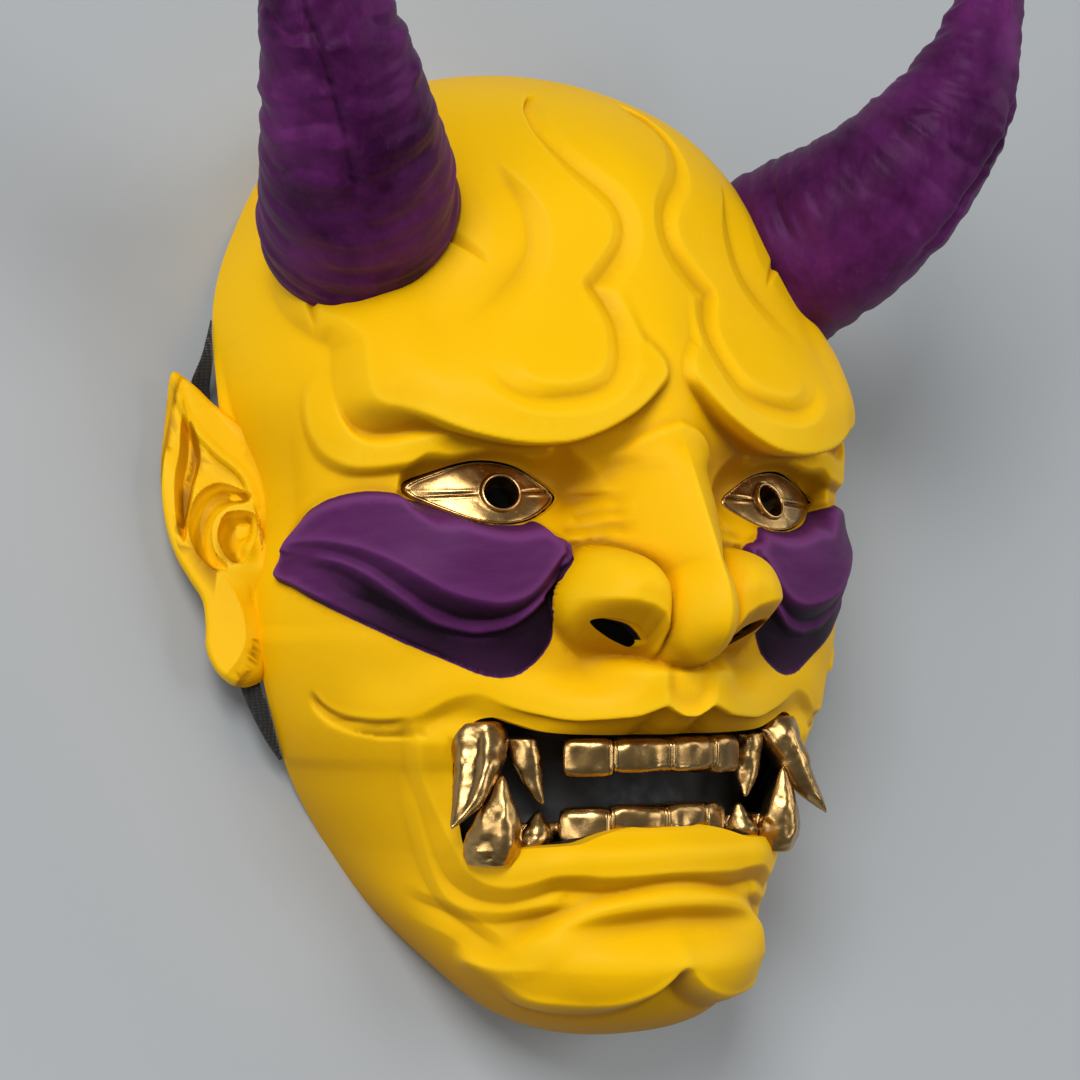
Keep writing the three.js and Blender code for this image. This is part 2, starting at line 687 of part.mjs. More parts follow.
// Keeps the shape but drops triangles where the surface is plain (quadric edge collapse).
function thin(body, target, keepBelow = 0) {
  const pts = body.points.map((p) => p.slice());
  const tris = body.faces.map((f) => f.slice());
  const alive = tris.map(() => true);
  const around = pts.map(() => new Set());
  tris.forEach((f, i) => f.forEach((v) => around[v].add(i)));
  const cross = (f, v = -1, at = null) => {
    const [a, b, c] = f.map((k) => (k === v ? at : pts[k]));
    const u = [b[0] - a[0], b[1] - a[1], b[2] - a[2]];
    const w = [c[0] - a[0], c[1] - a[1], c[2] - a[2]];
    return [u[1] * w[2] - u[2] * w[1], u[2] * w[0] - u[0] * w[2], u[0] * w[1] - u[1] * w[0]];
  };
  const quad = pts.map(() => new Float64Array(10));
  tris.forEach((f) => {
    const n = cross(f);
    const len = Math.hypot(...n);
    if (len < 1e-12) {
      return;
    }
    const [a, b, c] = n.map((v) => v / len);
    const p = pts[f[0]];
    const d = -(a * p[0] + b * p[1] + c * p[2]);
    const w = (len / 6) * (n[2] < -0.15 * len ? 0.06 : 1);
    const q = [a * a, a * b, a * c, a * d, b * b, b * c, b * d, c * c, c * d, d * d];
    f.forEach((v) => q.forEach((x, k) => {
      quad[v][k] += x * w;
    }));
  });
  const errorAt = (q, p) => q[0] * p[0] * p[0] + 2 * q[1] * p[0] * p[1] + 2 * q[2] * p[0] * p[2]
    + 2 * q[3] * p[0] + q[4] * p[1] * p[1] + 2 * q[5] * p[1] * p[2] + 2 * q[6] * p[1]
    + q[7] * p[2] * p[2] + 2 * q[8] * p[2] + q[9];
  const stamp = new Int32Array(pts.length);
  const heap = [];
  const push = (e) => {
    heap.push(e);
    let i = heap.length - 1;
    while (i > 0) {
      const up = (i - 1) >> 1;
      if (heap[up].c <= heap[i].c) {
        break;
      }
      [heap[up], heap[i]] = [heap[i], heap[up]];
      i = up;
    }
  };
  const pop = () => {
    const top = heap[0];
    const end = heap.pop();
    if (heap.length) {
      heap[0] = end;
      let i = 0;
      for (;;) {
        let m = i;
        const l = 2 * i + 1;
        if (l < heap.length && heap[l].c < heap[m].c) {
          m = l;
        }
        if (l + 1 < heap.length && heap[l + 1].c < heap[m].c) {
          m = l + 1;
        }
        if (m === i) {
          break;
        }
        [heap[m], heap[i]] = [heap[i], heap[m]];
        i = m;
      }
    }
    return top;
  };
  const offer = (a, b) => {
    const q = quad[a].map((v, k) => v + quad[b][k]);
    const mid = pts[a].map((v, k) => (v + pts[b][k]) / 2);
    const options = [mid, pts[a].slice(), pts[b].slice()];
    const det = q[0] * (q[4] * q[7] - q[5] * q[5]) - q[1] * (q[1] * q[7] - q[5] * q[2])
      + q[2] * (q[1] * q[5] - q[4] * q[2]);
    const span = Math.hypot(...pts[a].map((v, k) => v - pts[b][k]));
    if (Math.abs(det) > 1e-6) {
      const x = -(q[3] * (q[4] * q[7] - q[5] * q[5]) - q[1] * (q[6] * q[7] - q[5] * q[8])
        + q[2] * (q[6] * q[5] - q[4] * q[8])) / det;
      const y = -(q[0] * (q[6] * q[7] - q[8] * q[5]) - q[3] * (q[1] * q[7] - q[5] * q[2])
        + q[2] * (q[1] * q[8] - q[6] * q[2])) / det;
      const z = -(q[0] * (q[4] * q[8] - q[5] * q[6]) - q[1] * (q[1] * q[8] - q[6] * q[2])
        + q[3] * (q[1] * q[5] - q[4] * q[2])) / det;
      if (Math.hypot(x - mid[0], y - mid[1], z - mid[2]) < 1.5 * span) {
        options.unshift([x, y, z]);
      }
    }
    let best = null;
    let cost = Infinity;
    options.forEach((p) => {
      const e = errorAt(q, p);
      if (e < cost) {
        cost = e;
        best = p;
      }
    });
    if (keepBelow && [a, b].some((v) => pts[v][2] < rimPlane(pts[v][1]) + keepBelow)) {
      const onA = pts[a][2] < rimPlane(pts[a][1]) + keepBelow;
      const onB = pts[b][2] < rimPlane(pts[b][1]) + keepBelow;
      if (onA !== onB) {
        best = (onA ? pts[a] : pts[b]).slice();
      } else {
        best[2] = rimPlane(best[1]);
      }
      cost = errorAt(q, best);
    }
    push({ a, b, p: best, c: cost + 1e-5 * span * span, s: stamp[a] + stamp[b] });
  };
  const edges = new Set();
  tris.forEach((f) => {
    for (let k = 0; k < 3; k += 1) {
      const a = Math.min(f[k], f[(k + 1) % 3]);
      const b = Math.max(f[k], f[(k + 1) % 3]);
      edges.add(a * pts.length + b);
    }
  });
  edges.forEach((e) => offer(Math.floor(e / pts.length), e % pts.length));
  const ring = (v) => {
    const out = new Set();
    around[v].forEach((t) => tris[t].forEach((k) => k !== v && out.add(k)));
    return out;
  };
  const fits = (v, other, p) => {
    for (const t of around[v]) {
      const f = tris[t];
      if (f.includes(other)) {
        continue;
      }
      const n0 = cross(f);
      const n1 = cross(f, v, p);
      const l0 = Math.hypot(...n0);
      const l1 = Math.hypot(...n1);
      const dot = n0[0] * n1[0] + n0[1] * n1[1] + n0[2] * n1[2];
      const longest = Math.max(...[0, 1, 2].map((k) => {
        const s = f[k] === v ? p : pts[f[k]];
        const e = f[(k + 1) % 3] === v ? p : pts[f[(k + 1) % 3]];
        return Math.hypot(s[0] - e[0], s[1] - e[1], s[2] - e[2]);
      }));
      const longBefore = Math.max(...[0, 1, 2].map((k) => {
        const s = pts[f[k]];
        const e = pts[f[(k + 1) % 3]];
        return Math.hypot(s[0] - e[0], s[1] - e[1], s[2] - e[2]);
      }));
      const shape = l1 / (longest * longest + 1e-12);
      const before = l0 / (longBefore * longBefore + 1e-12);
      if (l0 > 2e-3 && dot < 0.3 * l0 * l1) {
        return false;
      }
      if (shape < Math.min(0.07, before * 0.8)) {
        return false;
      }
    }
    return true;
  };
  let count = tris.length;
  while (count > target && heap.length) {
    const e = pop();
    const { a, b } = e;
    if (!around[a] || !around[b] || e.s !== stamp[a] + stamp[b]) {
      continue;
    }
    const ra = ring(a);
    if (!ra.has(b)) {
      continue;
    }
    let shared = 0;
    ring(b).forEach((v) => {
      if (ra.has(v)) {
        shared += 1;
      }
    });
    if (shared !== 2 || !fits(a, b, e.p) || !fits(b, a, e.p)) {
      continue;
    }
    pts[a] = e.p;
    quad[a] = quad[a].map((v, k) => v + quad[b][k]);
    around[b].forEach((t) => {
      const f = tris[t];
      if (f.includes(a)) {
        alive[t] = false;
        count -= 1;
        f.forEach((v) => v !== b && around[v].delete(t));
      } else {
        f[f.indexOf(b)] = a;
        around[a].add(t);
      }
    });
    around[b] = null;
    stamp[a] += 1000003;
    ring(a).forEach((v) => {
      offer(Math.min(a, v), Math.max(a, v));
    });
  }
  const used = new Map();
  const points = [];
  const faces = [];
  tris.forEach((f, i) => {
    if (!alive[i]) {
      return;
    }
    faces.push(f.map((v) => {
      if (!used.has(v)) {
        used.set(v, points.push(pts[v]) - 1);
      }
      return used.get(v);
    }));
  });
  return { points, faces };
}

// The carved head, outside and inside.
const headCols = 84;
const headRows = 216;
const outerGrid = smoothGrid(carvedHead(headCols, headRows).map((row) => row.map((q) => q.p)), 1, 0.5);
const innerGrid = innerSkin(outerGrid);

// ears: a flat leaf carved on its face, joined to the side of the head
const earOrigin = [77, 0, -50];
const earOut = [0.87, 0, -0.49];
const earUp = [0, 0.976, -0.217];
const earFace = [0.478, 0.189, 0.849];
const earOutline = [
  [16.4, 30], [18.2, 18], [20.4, 4], [21.4, -6], [20.6, -15], [18, -23], [14.4, -30], [14.6, -37],
  [13, -43], [8.6, -45.4], [3.6, -44.2], [0, -40], [-0.6, -33], [-1.5, -25], [-6, -16], [-7, -4],
  [-6, 8], [-1, 15], [7, 21.5], [12.5, 26.5],
];
const earSlot = [[13.5, 19], [16.4, 8], [17, -4], [15, -13]];
const earCurl = [[2, 10], [7.5, 8], [11.5, 1], [11, -7], [7, -12], [3, -9], [4, -3], [7, -2]];
const onEarSlot = makeLine(earSlot, false);
const onEarCurl = makeLine(earCurl, false);
const inEar = makeLine(earOutline, true);

function earHeight(p, q) {
  const d = inEar(p, q).d;
  let h = 2.6 * ease(0, 3.2, d) + 0.8 * ease(3, 9, d);
  h -= 4.2 * ease(2.4, 0.4, onEarSlot(p, q).d);
  h -= 2.6 * ease(2.6, 0.2, onEarCurl(p, q).d);
  return h;
}

function earBody(rings, perSpan) {
  const line = spline(earOutline, perSpan, true).reverse();
  const n = line.length;
  const centre = [7, -6];
  const place = (p, q, h) => earOrigin.map((v, k) => v + earOut[k] * p + earUp[k] * q + earFace[k] * h);
  const points = [];
  for (let j = 1; j <= rings; j += 1) {
    const t = j / rings;
    line.forEach((v) => {
      const p = mix(centre[0], v[0], t);
      const q = mix(centre[1], v[1], t);
      points.push(place(p, q, earHeight(p, q)));
    });
  }
  line.forEach((v) => points.push(place(mix(centre[0], v[0], 0.96), mix(centre[1], v[1], 0.97), -4.2)));
  const front = points.push(place(centre[0], centre[1], earHeight(centre[0], centre[1]))) - 1;
  const back = points.push(place(centre[0], centre[1], -4.6)) - 1;
  const faces = [];
  for (let i = 0; i < n; i += 1) {
    const k = (i + 1) % n;
    faces.push([front, k, i]);
    for (let j = 0; j < rings; j += 1) {
      const a = j * n;
      const b = a + n;
      faces.push([a + i, a + k, b + k], [a + i, b + k, b + i]);
    }
    faces.push([back, rings * n + i, rings * n + k]);
  }
  return { points, faces };
}

// openings of the shell
const eyeHole = prism(eyeOutline, 3, -40, 30);
const mouthHole = prism(mouthOutline.slice(1, -1).concat(
  mouthOutline.slice(1, -1).reverse().map((p) => [-p[0], p[1]]),
), 3, -60, 60);
const nostrilHole = prism(nostrilOutline, 3, -10, 60);

let shellSolid = toSolid(skin(outerGrid, innerGrid));
const ear = outward(earBody(7, 3));
shellSolid = shellSolid.add(toSolid(ear)).add(toSolid(mirrorX(ear)));
[eyeHole, nostrilHole].forEach((hole) => {
  shellSolid = shellSolid.subtract(toSolid(hole)).subtract(toSolid(mirrorX(hole)));
});
shellSolid = shellSolid.subtract(toSolid(mouthHole));
const shell = bothSides(thin(mainSkin(fromSolid(shellSolid)), shellTriangles, 0.05));

// shell grown by the gap, to trim the pieces that sit against it
function grown(body, gap) {
  const normals = body.points.map(() => []);
  body.faces.forEach((f) => {
    const [a, b, c] = f.map((v) => new THREE.Vector3(...body.points[v]));
    const n = b.sub(a).cross(c.sub(a)).normalize();
    f.forEach((v) => normals[v].push(n));
  });
  return {
    points: body.points.map((p, i) => {
      const move = new THREE.Vector3();
      for (let pass = 0; pass < 12; pass += 1) {
        normals[i].forEach((n) => {
          const short = gap - n.dot(move);
          if (short > 0) {
            move.addScaledVector(n, short);
          }
        });
      }
      move.clampLength(0, 3 * gap);
      return [p[0] + move.x, p[1] + move.y, p[2] + move.z];
    }),
    faces: body.faces,
  };
}
const shellGrown = toSolid(grown(shell, pieceGap));

// A body made coarser and then trimmed back from the solids it sits against.
function fitted(body, count, blocks) {
  const trimmed = blocks.reduce((left, block) => left.subtract(block), toSolid(thin(body, count)));
  const lumps = trimmed.decompose().sort((a, b) => b.volume() - a.volume());
  return fromSolid(lumps[0]);
}

// horns
const hornPath = [
  [52, 57, -40], [60.6, 64.7, -25.7], [70, 74, -9], [78.6, 86, 3], [86, 100, 10],
  [93, 120, 13], [97, 140, 13], [98.5, 157, 11.5],
];
const hornRadius = [23.4, 23.4, 21.4, 18.4, 14.8, 9.6, 5.4, 1.2];

function hornBody(around, along) {
  const path = spline(hornPath.map((p, i) => [...p, hornRadius[i]]), along, false);
  const rings = path.map((p, j) => {
    const a = path[Math.max(j - 1, 0)];
    const b = path[Math.min(j + 1, path.length - 1)];
    const t = new THREE.Vector3(b[0] - a[0], b[1] - a[1], b[2] - a[2]).normalize();
    const u = new THREE.Vector3(0, 1, 0).cross(t).normalize();
    const v = t.clone().cross(u);
    const ring = [];
    for (let i = 0; i < around; i += 1) {
      const w = (2 * Math.PI * i) / around;
      const s = j / path.length;
      const lump = 1 + 0.028 * Math.sin(30 * s + 1.3 * Math.sin(w)) * ease(1, 0.6, s);
      const r = p[3] * lump;
      ring.push([
        p[0] + r * (u.x * Math.cos(w) + v.x * Math.sin(w)),
        p[1] + r * (u.y * Math.cos(w) + v.y * Math.sin(w)),
        p[2] + r * (u.z * Math.cos(w) + v.z * Math.sin(w)),
      ]);
    }
    return ring;
  });
  return loft(rings, hornPath[0].slice(), [98.7, 160.5, 11.2]);
}
const hornLeft = fitted(hornBody(16, 3), 470, [shellGrown]);

// eyes: domed almond inserts with a raised ring round the pupil hole
const eyeGap = 0.5;
const pupilRadius = 3.9;
const ringRadius = 4.9;
const eyeNormal = new THREE.Vector3(0.255, 0.35, 0.9).normalize();

function ringBody(centre, normal, inner, outer, low, high, count) {
  const u = new THREE.Vector3(0, 1, 0).cross(normal).normalize();
  const v = normal.clone().cross(u);
  const section = [
    [inner, low], [outer + 0.2, low], [outer, high * 0.6],
    [mix(inner, outer, 0.5), high], [inner, high * 0.75],
  ];
  const points = [];
  for (let i = 0; i < count; i += 1) {
    const w = (2 * Math.PI * i) / count;
    section.forEach(([r, h]) => {
      points.push([0, 1, 2].map((k) => centre[k] + normal.getComponent(k) * h
        + r * (u.getComponent(k) * Math.cos(w) + v.getComponent(k) * Math.sin(w))));
    });
  }
  const m = section.length;
  const faces = [];
  for (let i = 0; i < count; i += 1) {
    const k = (i + 1) % count;
    for (let j = 0; j < m; j += 1) {
      const l = (j + 1) % m;
      const [a, b, c, d] = [i * m + j, i * m + l, k * m + l, k * m + j];
      faces.push([a, c, b], [a, d, c]);
    }
  }
  return { points, faces };
}

function eyeBody(rings, perSpan) {
  let line = spline(eyeOutline, perSpan, true);
  const n = line.length;
  line = line.map((p, i) => {
    const a = line[(i + n - 1) % n];
    const b = line[(i + 1) % n];
    const len = Math.hypot(b[0] - a[0], b[1] - a[1]);
    return [p[0] - ((b[1] - a[1]) / len) * eyeGap, p[1] + ((b[0] - a[0]) / len) * eyeGap];
  });
  const centre = [38.5, 0.2];
  const points = [];
  for (let j = 1; j <= rings; j += 1) {
    const t = j / rings;
    line.forEach((v) => {
      const x = mix(centre[0], v[0], t);
      const y = mix(centre[1], v[1], t);
      points.push([x, y, eyeSurface(x, y) - 0.4 * t ** 6 - 0.25]);
    });
  }
  line.forEach((v) => points.push([v[0], v[1], eyeSurface(v[0], v[1]) - 4]));
  const front = points.push([centre[0], centre[1], eyeSurface(centre[0], centre[1]) - 0.25]) - 1;
  const back = points.push([centre[0], centre[1], eyeSurface(centre[0], centre[1]) - 4]) - 1;
  const faces = [];
  for (let i = 0; i < n; i += 1) {
    const k = (i + 1) % n;
    faces.push([front, k, i]);
    for (let j = 0; j < rings; j += 1) {
      const a = j * n;
      const b = a + n;
      faces.push([a + i, a + k, b + k], [a + i, b + k, b + i]);
    }
    faces.push([back, rings * n + i, rings * n + k]);
  }
  return { points, faces };
}

const pupilCentre = [pupilHalfSpacing, 0, eyeSurface(pupilHalfSpacing, 0)];
const pupilRing = outward(ringBody(pupilCentre, eyeNormal, pupilRadius - 0.6, ringRadius, -2.5, 1.4, 20));
const boreCore = (() => {
  const u = new THREE.Vector3(0, 1, 0).cross(eyeNormal).normalize();
  const v = eyeNormal.clone().cross(u);
  const rings = [-12, 6].map((h) => {
    const ring = [];
    for (let i = 0; i < 20; i += 1) {
      const w = (2 * Math.PI * i) / 20;
      ring.push([0, 1, 2].map((k) => pupilCentre[k] + eyeNormal.getComponent(k) * h
        + pupilRadius * (u.getComponent(k) * Math.cos(w) + v.getComponent(k) * Math.sin(w))));
    }
    return ring;
  });
  const end = (h) => pupilCentre.map((c, k) => c + eyeNormal.getComponent(k) * h);
  return outward(loft(rings, end(-12), end(6)));
})();
const eyeLeft = fitted(fromSolid(
  toSolid(outward(eyeBody(4, 3))).add(toSolid(pupilRing)).subtract(toSolid(boreCore)),
), 230, [shellGrown]);

// teeth
function toothBody(stations, across, count = 10) {
  const yaw = across;
  const path = spline(stations, 2, false);
  const rings = path.map((p) => {
    const ring = [];
    for (let i = 0; i < count; i += 1) {
      const w = (2 * Math.PI * i) / count;
      const c = Math.sign(Math.cos(w)) * Math.abs(Math.cos(w)) ** 0.8;
      const s = Math.sign(Math.sin(w)) * Math.abs(Math.sin(w)) ** 0.8;
      const a = p[3] * c;
      const b = p[4] * s;
      ring.push([
        p[0] + a * Math.cos(yaw) + b * Math.sin(yaw),
        p[1],
        p[2] - a * Math.sin(yaw) + b * Math.cos(yaw),
      ]);
    }
    return ring;
  });
  const first = path[0];
  const last = path[path.length - 1];
  return outward(loft(rings, [first[0], first[1] + 0.2 * Math.sign(first[1] - last[1]), first[2]],
    [last[0], last[1] - 0.25 * Math.sign(first[1] - last[1]), last[2]]));
}
const arch = (x) => 13.2 - 0.0142 * x * x;
const lowArch = (x) => 11 - 0.0195 * x * x;
// a block tooth between two distances from the midline
function blockTooth(x0, x1, yRoot, yEdge, archAt, depth) {
  const x = (x0 + x1) / 2;
  const half = (x1 - x0) / 2;
  const yaw = Math.atan2(archAt(x0) - archAt(x1), x1 - x0);
  const d = depth / 2;
  const z = archAt(x) - d;
  const dy = yEdge - yRoot;
  return toothBody([
    [x, yRoot, z - 0.5, half * 0.9, d], [x, yRoot + 0.35 * dy, z, half * 0.97, d],
    [x, yRoot + 0.75 * dy, z + 0.2, half * 1.0, d], [x, yEdge, z, half * 0.9, d * 0.8],
  ], yaw);
}
const upperRight = [[0, 14.1, -55.9, -63.9], [14.1, 24.7, -55.6, -64.4]];
const lowerRow = [[0, 13.2, -76.6, -72.4], [13.2, 23.4, -80.6, -72.2]];
// bar behind a row of teeth, cast with them
function gumBar(x1, y0, y1, archAt, back, depth) {
  const outer = [];
  const inner = [];
  const steps = 14;
  [y0, y1].forEach((y) => {
    outer.push([]);
    inner.push([]);
    for (let i = 0; i <= steps; i += 1) {
      const x = mix(-x1, x1, i / steps);
      outer[outer.length - 1].push([x, y, archAt(x) - back]);
      inner[inner.length - 1].push([x * 0.93, y, archAt(x) - back - depth]);
    }
  });
  return outward(skin(outer, inner));
}
let upperTeeth = toSolid(gumBar(23, -61.5, -56.2, arch, 1.6, 8));
upperRight.forEach(([x0, x1, y0, y1]) => {
  const tooth = blockTooth(x0 - 0.15, x1 + 0.15, y0, y1, arch, 11);
  [tooth, mirrorX(tooth)].forEach((b) => {
    upperTeeth = upperTeeth ? upperTeeth.add(toSolid(b)) : toSolid(b);
  });
});
const smallUpperFang = toothBody([
  [30.6, -55.2, -2.5, 4.2, 4.2], [30.2, -60, -1.6, 3.9, 3.9],
  [29.2, -66, 0, 2.4, 2.6], [27.8, -70.4, 2, 0.5, 0.5],
], 0.8, 10);
const bigUpperFang = toothBody([
  [40.4, -51.2, -5.5, 5.6, 5], [41, -56, -3.4, 6.3, 5.6], [43.2, -63, -1, 5.2, 4.8],
  [46.8, -70, 1, 3.2, 3], [51.2, -75, 2.2, 0.5, 0.5],
], 0.9, 12);
const bigLowerFang = toothBody([
  [38.6, -84.4, -3.2, 5.2, 4.6], [38.9, -80, -1.4, 6.5, 5.4],
  [38.9, -73, 0.6, 4.8, 4.2], [38.4, -63.6, 2.2, 0.5, 0.5],
], 0.9, 12);
const smallLowerFang = toothBody([
  [28.4, -81.6, -2.6, 3.4, 4.4], [28, -78, -1.6, 3.9, 4.6], [27.4, -72, -0.6, 0.6, 0.6],
], 0.85, 10);
const wideArch = (x) => mix(lowArch(x), 3 - 0.11 * (Math.abs(x) - 20), ease(16, 30, Math.abs(x)));
let lowerTeeth = toSolid(gumBar(38, -76.4, -73.6, wideArch, 2.2, 8));
lowerRow.forEach(([x0, x1, y0, y1]) => {
  const tooth = blockTooth(x0 - 0.15, x1 + 0.15, y0, y1, lowArch, 10);
  [tooth, mirrorX(tooth)].forEach((b) => {
    lowerTeeth = lowerTeeth ? lowerTeeth.add(toSolid(b)) : toSolid(b);
  });
});
[smallLowerFang, bigLowerFang].forEach((b) => {
  lowerTeeth = lowerTeeth.add(toSolid(b)).add(toSolid(mirrorX(b)));
});

// black panel behind the teeth: dished, its edge against the inside of the shell
function panelGrid(offset, stride) {
  const grid = [];
  const asGrid = innerGrid.map((row) => row.map((p) => ({ p })));
  for (let j = 0; j < innerGrid.length; j += stride) {
    const mid = innerGrid[j][headCols];
    if (mid[1] < -40 && mid[1] > -99 && mid[2] > -16) {
      const row = [];
      for (let i = 0; i <= 2 * headCols; i += stride) {
        if (Math.abs(i - headCols) <= 60) {
          const n = gridNormal(asGrid, j, i);
          const p = innerGrid[j][i];
          const ax = Math.abs(p[0]);
          const dish = panelDish * ease(54, 46, ax) * ease(-46, -53, p[1]) * ease(-94, -87, p[1]);
          row.push([p[0] - n.x * offset, p[1] - n.y * offset, p[2] - n.z * offset - dish]);
        }
      }
      grid.push(row);
    }
  }
  return grid;
}
const panel = fitted(skin(panelGrid(0.8, 5), panelGrid(2.8, 5)), 280, [shellGrown]);
const panelBlock = toSolid(skin(panelGrid(0.8 - pieceGap, 5), panelGrid(16, 5)));

// black webbing along the side rims, flat beside the edge of the shell and under the ears
const bandTop = 44;
const bandBottom = -61;
const bandWidth = 4.4;
function bandGrid(height) {
  const rims = outerGrid.map((row) => row[row.length - 1]);
  const grid = [];
  rims.forEach((rim, j) => {
    if (rim[1] <= bandTop && rim[1] >= bandBottom && j % 5 === 0) {
      const along = [rims[j + 4][0] - rims[j - 4][0], rims[j + 4][1] - rims[j - 4][1]];
      const len = Math.hypot(along[0], along[1]);
      grid.push([0.4, bandWidth / 2, bandWidth].map((out) => {
        const x = rim[0] + (out * Math.abs(along[1])) / len;
        const y = rim[1] - (out * along[0] * Math.sign(along[1])) / len;
        const level = rim[2] + rimSlope * (y - rim[1]);
        const under = -55.9 - (0.49 * (x - 74.8)) / 0.87 - (0.217 * (y + 0.87)) / 0.976;
        const dip = ease(37, 26.5, y) * ease(-56, -47, y);
        return [x, y, mix(level, Math.min(level, under), dip) + height];
      }));
    }
  });
  return grid;
}
const bandLeft = fitted(outward(skin(bandGrid(1.35), bandGrid(0.12))), 160, [shellGrown]);

// The pieces, laid down on the rim.
const tilt = Math.atan(-rimSlope);
const group = new THREE.Group();
const colours = {
  yellow: [0xf5bd12, 0.45, 0],
  purple: [0x4e1f52, 0.5, 0],
  gold: [0xa98245, 0.3, 0.9],
  black: [0x101012, 0.8, 0],
};

function lay(p) {
  const y = p[1] * Math.cos(tilt) - p[2] * Math.sin(tilt);
  const z = p[1] * Math.sin(tilt) + p[2] * Math.cos(tilt);
  return [p[0], y, z - rimLevel * Math.cos(tilt)];
}

const laid = [];
function addPiece(name, body, colour) {
  laid.push({ name, points: body.points.map(lay), faces: body.faces, colour });
}

addPiece('mask_shell', shell, 'yellow');
addPiece('horn_left', hornLeft, 'purple');
addPiece('horn_right', mirrorX(hornLeft), 'purple');
addPiece('eye_left', eyeLeft, 'gold');
addPiece('eye_right', mirrorX(eyeLeft), 'gold');
const around = (body) => toSolid(grown(body, pieceGap));
const bigFang = fitted(bigUpperFang, 180, [panelBlock, shellGrown]);
const smallFang = fitted(smallUpperFang, 110, [panelBlock, shellGrown, around(bigFang)]);
const upperPart = fitted(fromSolid(upperTeeth), 320, [
  panelBlock, shellGrown, around(smallFang), around(mirrorX(smallFang)),
]);
const lowerPart = fitted(fromSolid(lowerTeeth), 420, [
  panelBlock, shellGrown, around(bigFang), around(mirrorX(bigFang)),
]);
addPiece('upper_incisors', upperPart, 'gold');
addPiece('upper_small_fang_left', smallFang, 'gold');
addPiece('upper_small_fang_right', mirrorX(smallFang), 'gold');
addPiece('upper_large_fang_left', bigFang, 'gold');
addPiece('upper_large_fang_right', mirrorX(bigFang), 'gold');
addPiece('lower_teeth', lowerPart, 'gold');
addPiece('mouth_backing', panel, 'black');
addPiece('side_band_left', bandLeft, 'black');
addPiece('side_band_right', mirrorX(bandLeft), 'black');

const all = laid.flatMap((p) => p.points);
const yMid = (Math.min(...all.map((p) => p[1])) + Math.max(...all.map((p) => p[1]))) / 2;
laid.forEach(({ name, points, faces, colour }) => {
  const geometry = new THREE.BufferGeometry();
  const flat = points.map((p) => [p[0], p[1] - yMid, Math.max(p[2], 0)]).flat();
  geometry.setAttribute('position', new THREE.Float32BufferAttribute(flat, 3));
  geometry.setIndex(faces.flat());
  geometry.computeVertexNormals();
  const [hex, roughness, metalness] = colours[colour];
  const material = new THREE.MeshStandardMaterial({ color: hex, roughness, metalness });
  material.name = colour;
  const mesh = new THREE.Mesh(geometry, material);
  mesh.name = name;
  group.add(mesh);
});

export default group;
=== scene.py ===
# %% [markdown]
# Oni mask, lying face up on its rim.
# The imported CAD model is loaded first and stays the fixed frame: the pieces below
# replace its nodes one for one, at the same places, with the fine carving,
# the paint and the metal finish.
# Everything is worked out in the face frame, in millimetres: x to the viewer's right,
# y towards the crown, z out of the face, origin midway between the pupils.

# %% load the frame
import math
import bpy
import numpy as np
from mathutils import Matrix, Vector
from mathutils.kdtree import KDTree


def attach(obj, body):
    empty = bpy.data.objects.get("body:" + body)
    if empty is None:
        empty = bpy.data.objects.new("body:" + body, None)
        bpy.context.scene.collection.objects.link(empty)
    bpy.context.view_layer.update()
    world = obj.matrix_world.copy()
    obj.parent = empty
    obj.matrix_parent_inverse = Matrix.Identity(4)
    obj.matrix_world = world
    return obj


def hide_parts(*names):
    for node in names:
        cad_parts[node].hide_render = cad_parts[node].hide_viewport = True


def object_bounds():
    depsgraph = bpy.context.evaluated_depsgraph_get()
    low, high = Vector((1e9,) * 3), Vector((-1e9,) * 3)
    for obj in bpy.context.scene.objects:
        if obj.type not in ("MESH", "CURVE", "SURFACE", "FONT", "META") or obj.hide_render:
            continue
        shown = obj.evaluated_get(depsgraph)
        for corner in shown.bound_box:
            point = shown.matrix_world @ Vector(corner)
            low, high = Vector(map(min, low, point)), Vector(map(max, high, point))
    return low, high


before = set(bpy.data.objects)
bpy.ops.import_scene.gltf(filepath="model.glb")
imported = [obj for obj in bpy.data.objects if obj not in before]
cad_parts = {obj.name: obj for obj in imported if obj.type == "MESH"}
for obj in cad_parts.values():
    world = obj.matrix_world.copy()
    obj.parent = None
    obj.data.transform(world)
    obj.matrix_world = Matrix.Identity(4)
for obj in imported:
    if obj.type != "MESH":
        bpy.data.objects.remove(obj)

cad_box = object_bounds()
print("CAD box", cad_box)

# %% [markdown]
# The mask lies on its rim, so the face frame is tipped by the slope of the rim, lifted
# until the rim is the floor, and centred along y. Each piece could be modelled upright
# and turned at the end, but turning the points as they are made leaves every
# finished object at the origin, unturned.

# %% face frame to row frame
RIM_LEVEL = -66.0
RIM_SLOPE = -0.2222
HORN_TIP_END = 154.586
TILT = math.atan(-RIM_SLOPE)
Y_MIDDLE = HORN_TIP_END - cad_box[1][1] * 1000.0
COS_T = math.cos(TILT)
SIN_T = math.sin(TILT)


def to_row_mm(points):
    """Face millimetres as row millimetres."""
    p = np.asarray(points, dtype=float)
    y = p[..., 1] * COS_T - p[..., 2] * SIN_T - Y_MIDDLE
    z = p[..., 1] * SIN_T + p[..., 2] * COS_T - RIM_LEVEL * COS_T
    return np.stack([p[..., 0], y, z], axis=-1)


def to_row(points):
    """Face millimetres as row metres, with nothing under the floor."""
    return np.maximum(to_row_mm(points), [-np.inf, -np.inf, 0.0]) / 1000.0


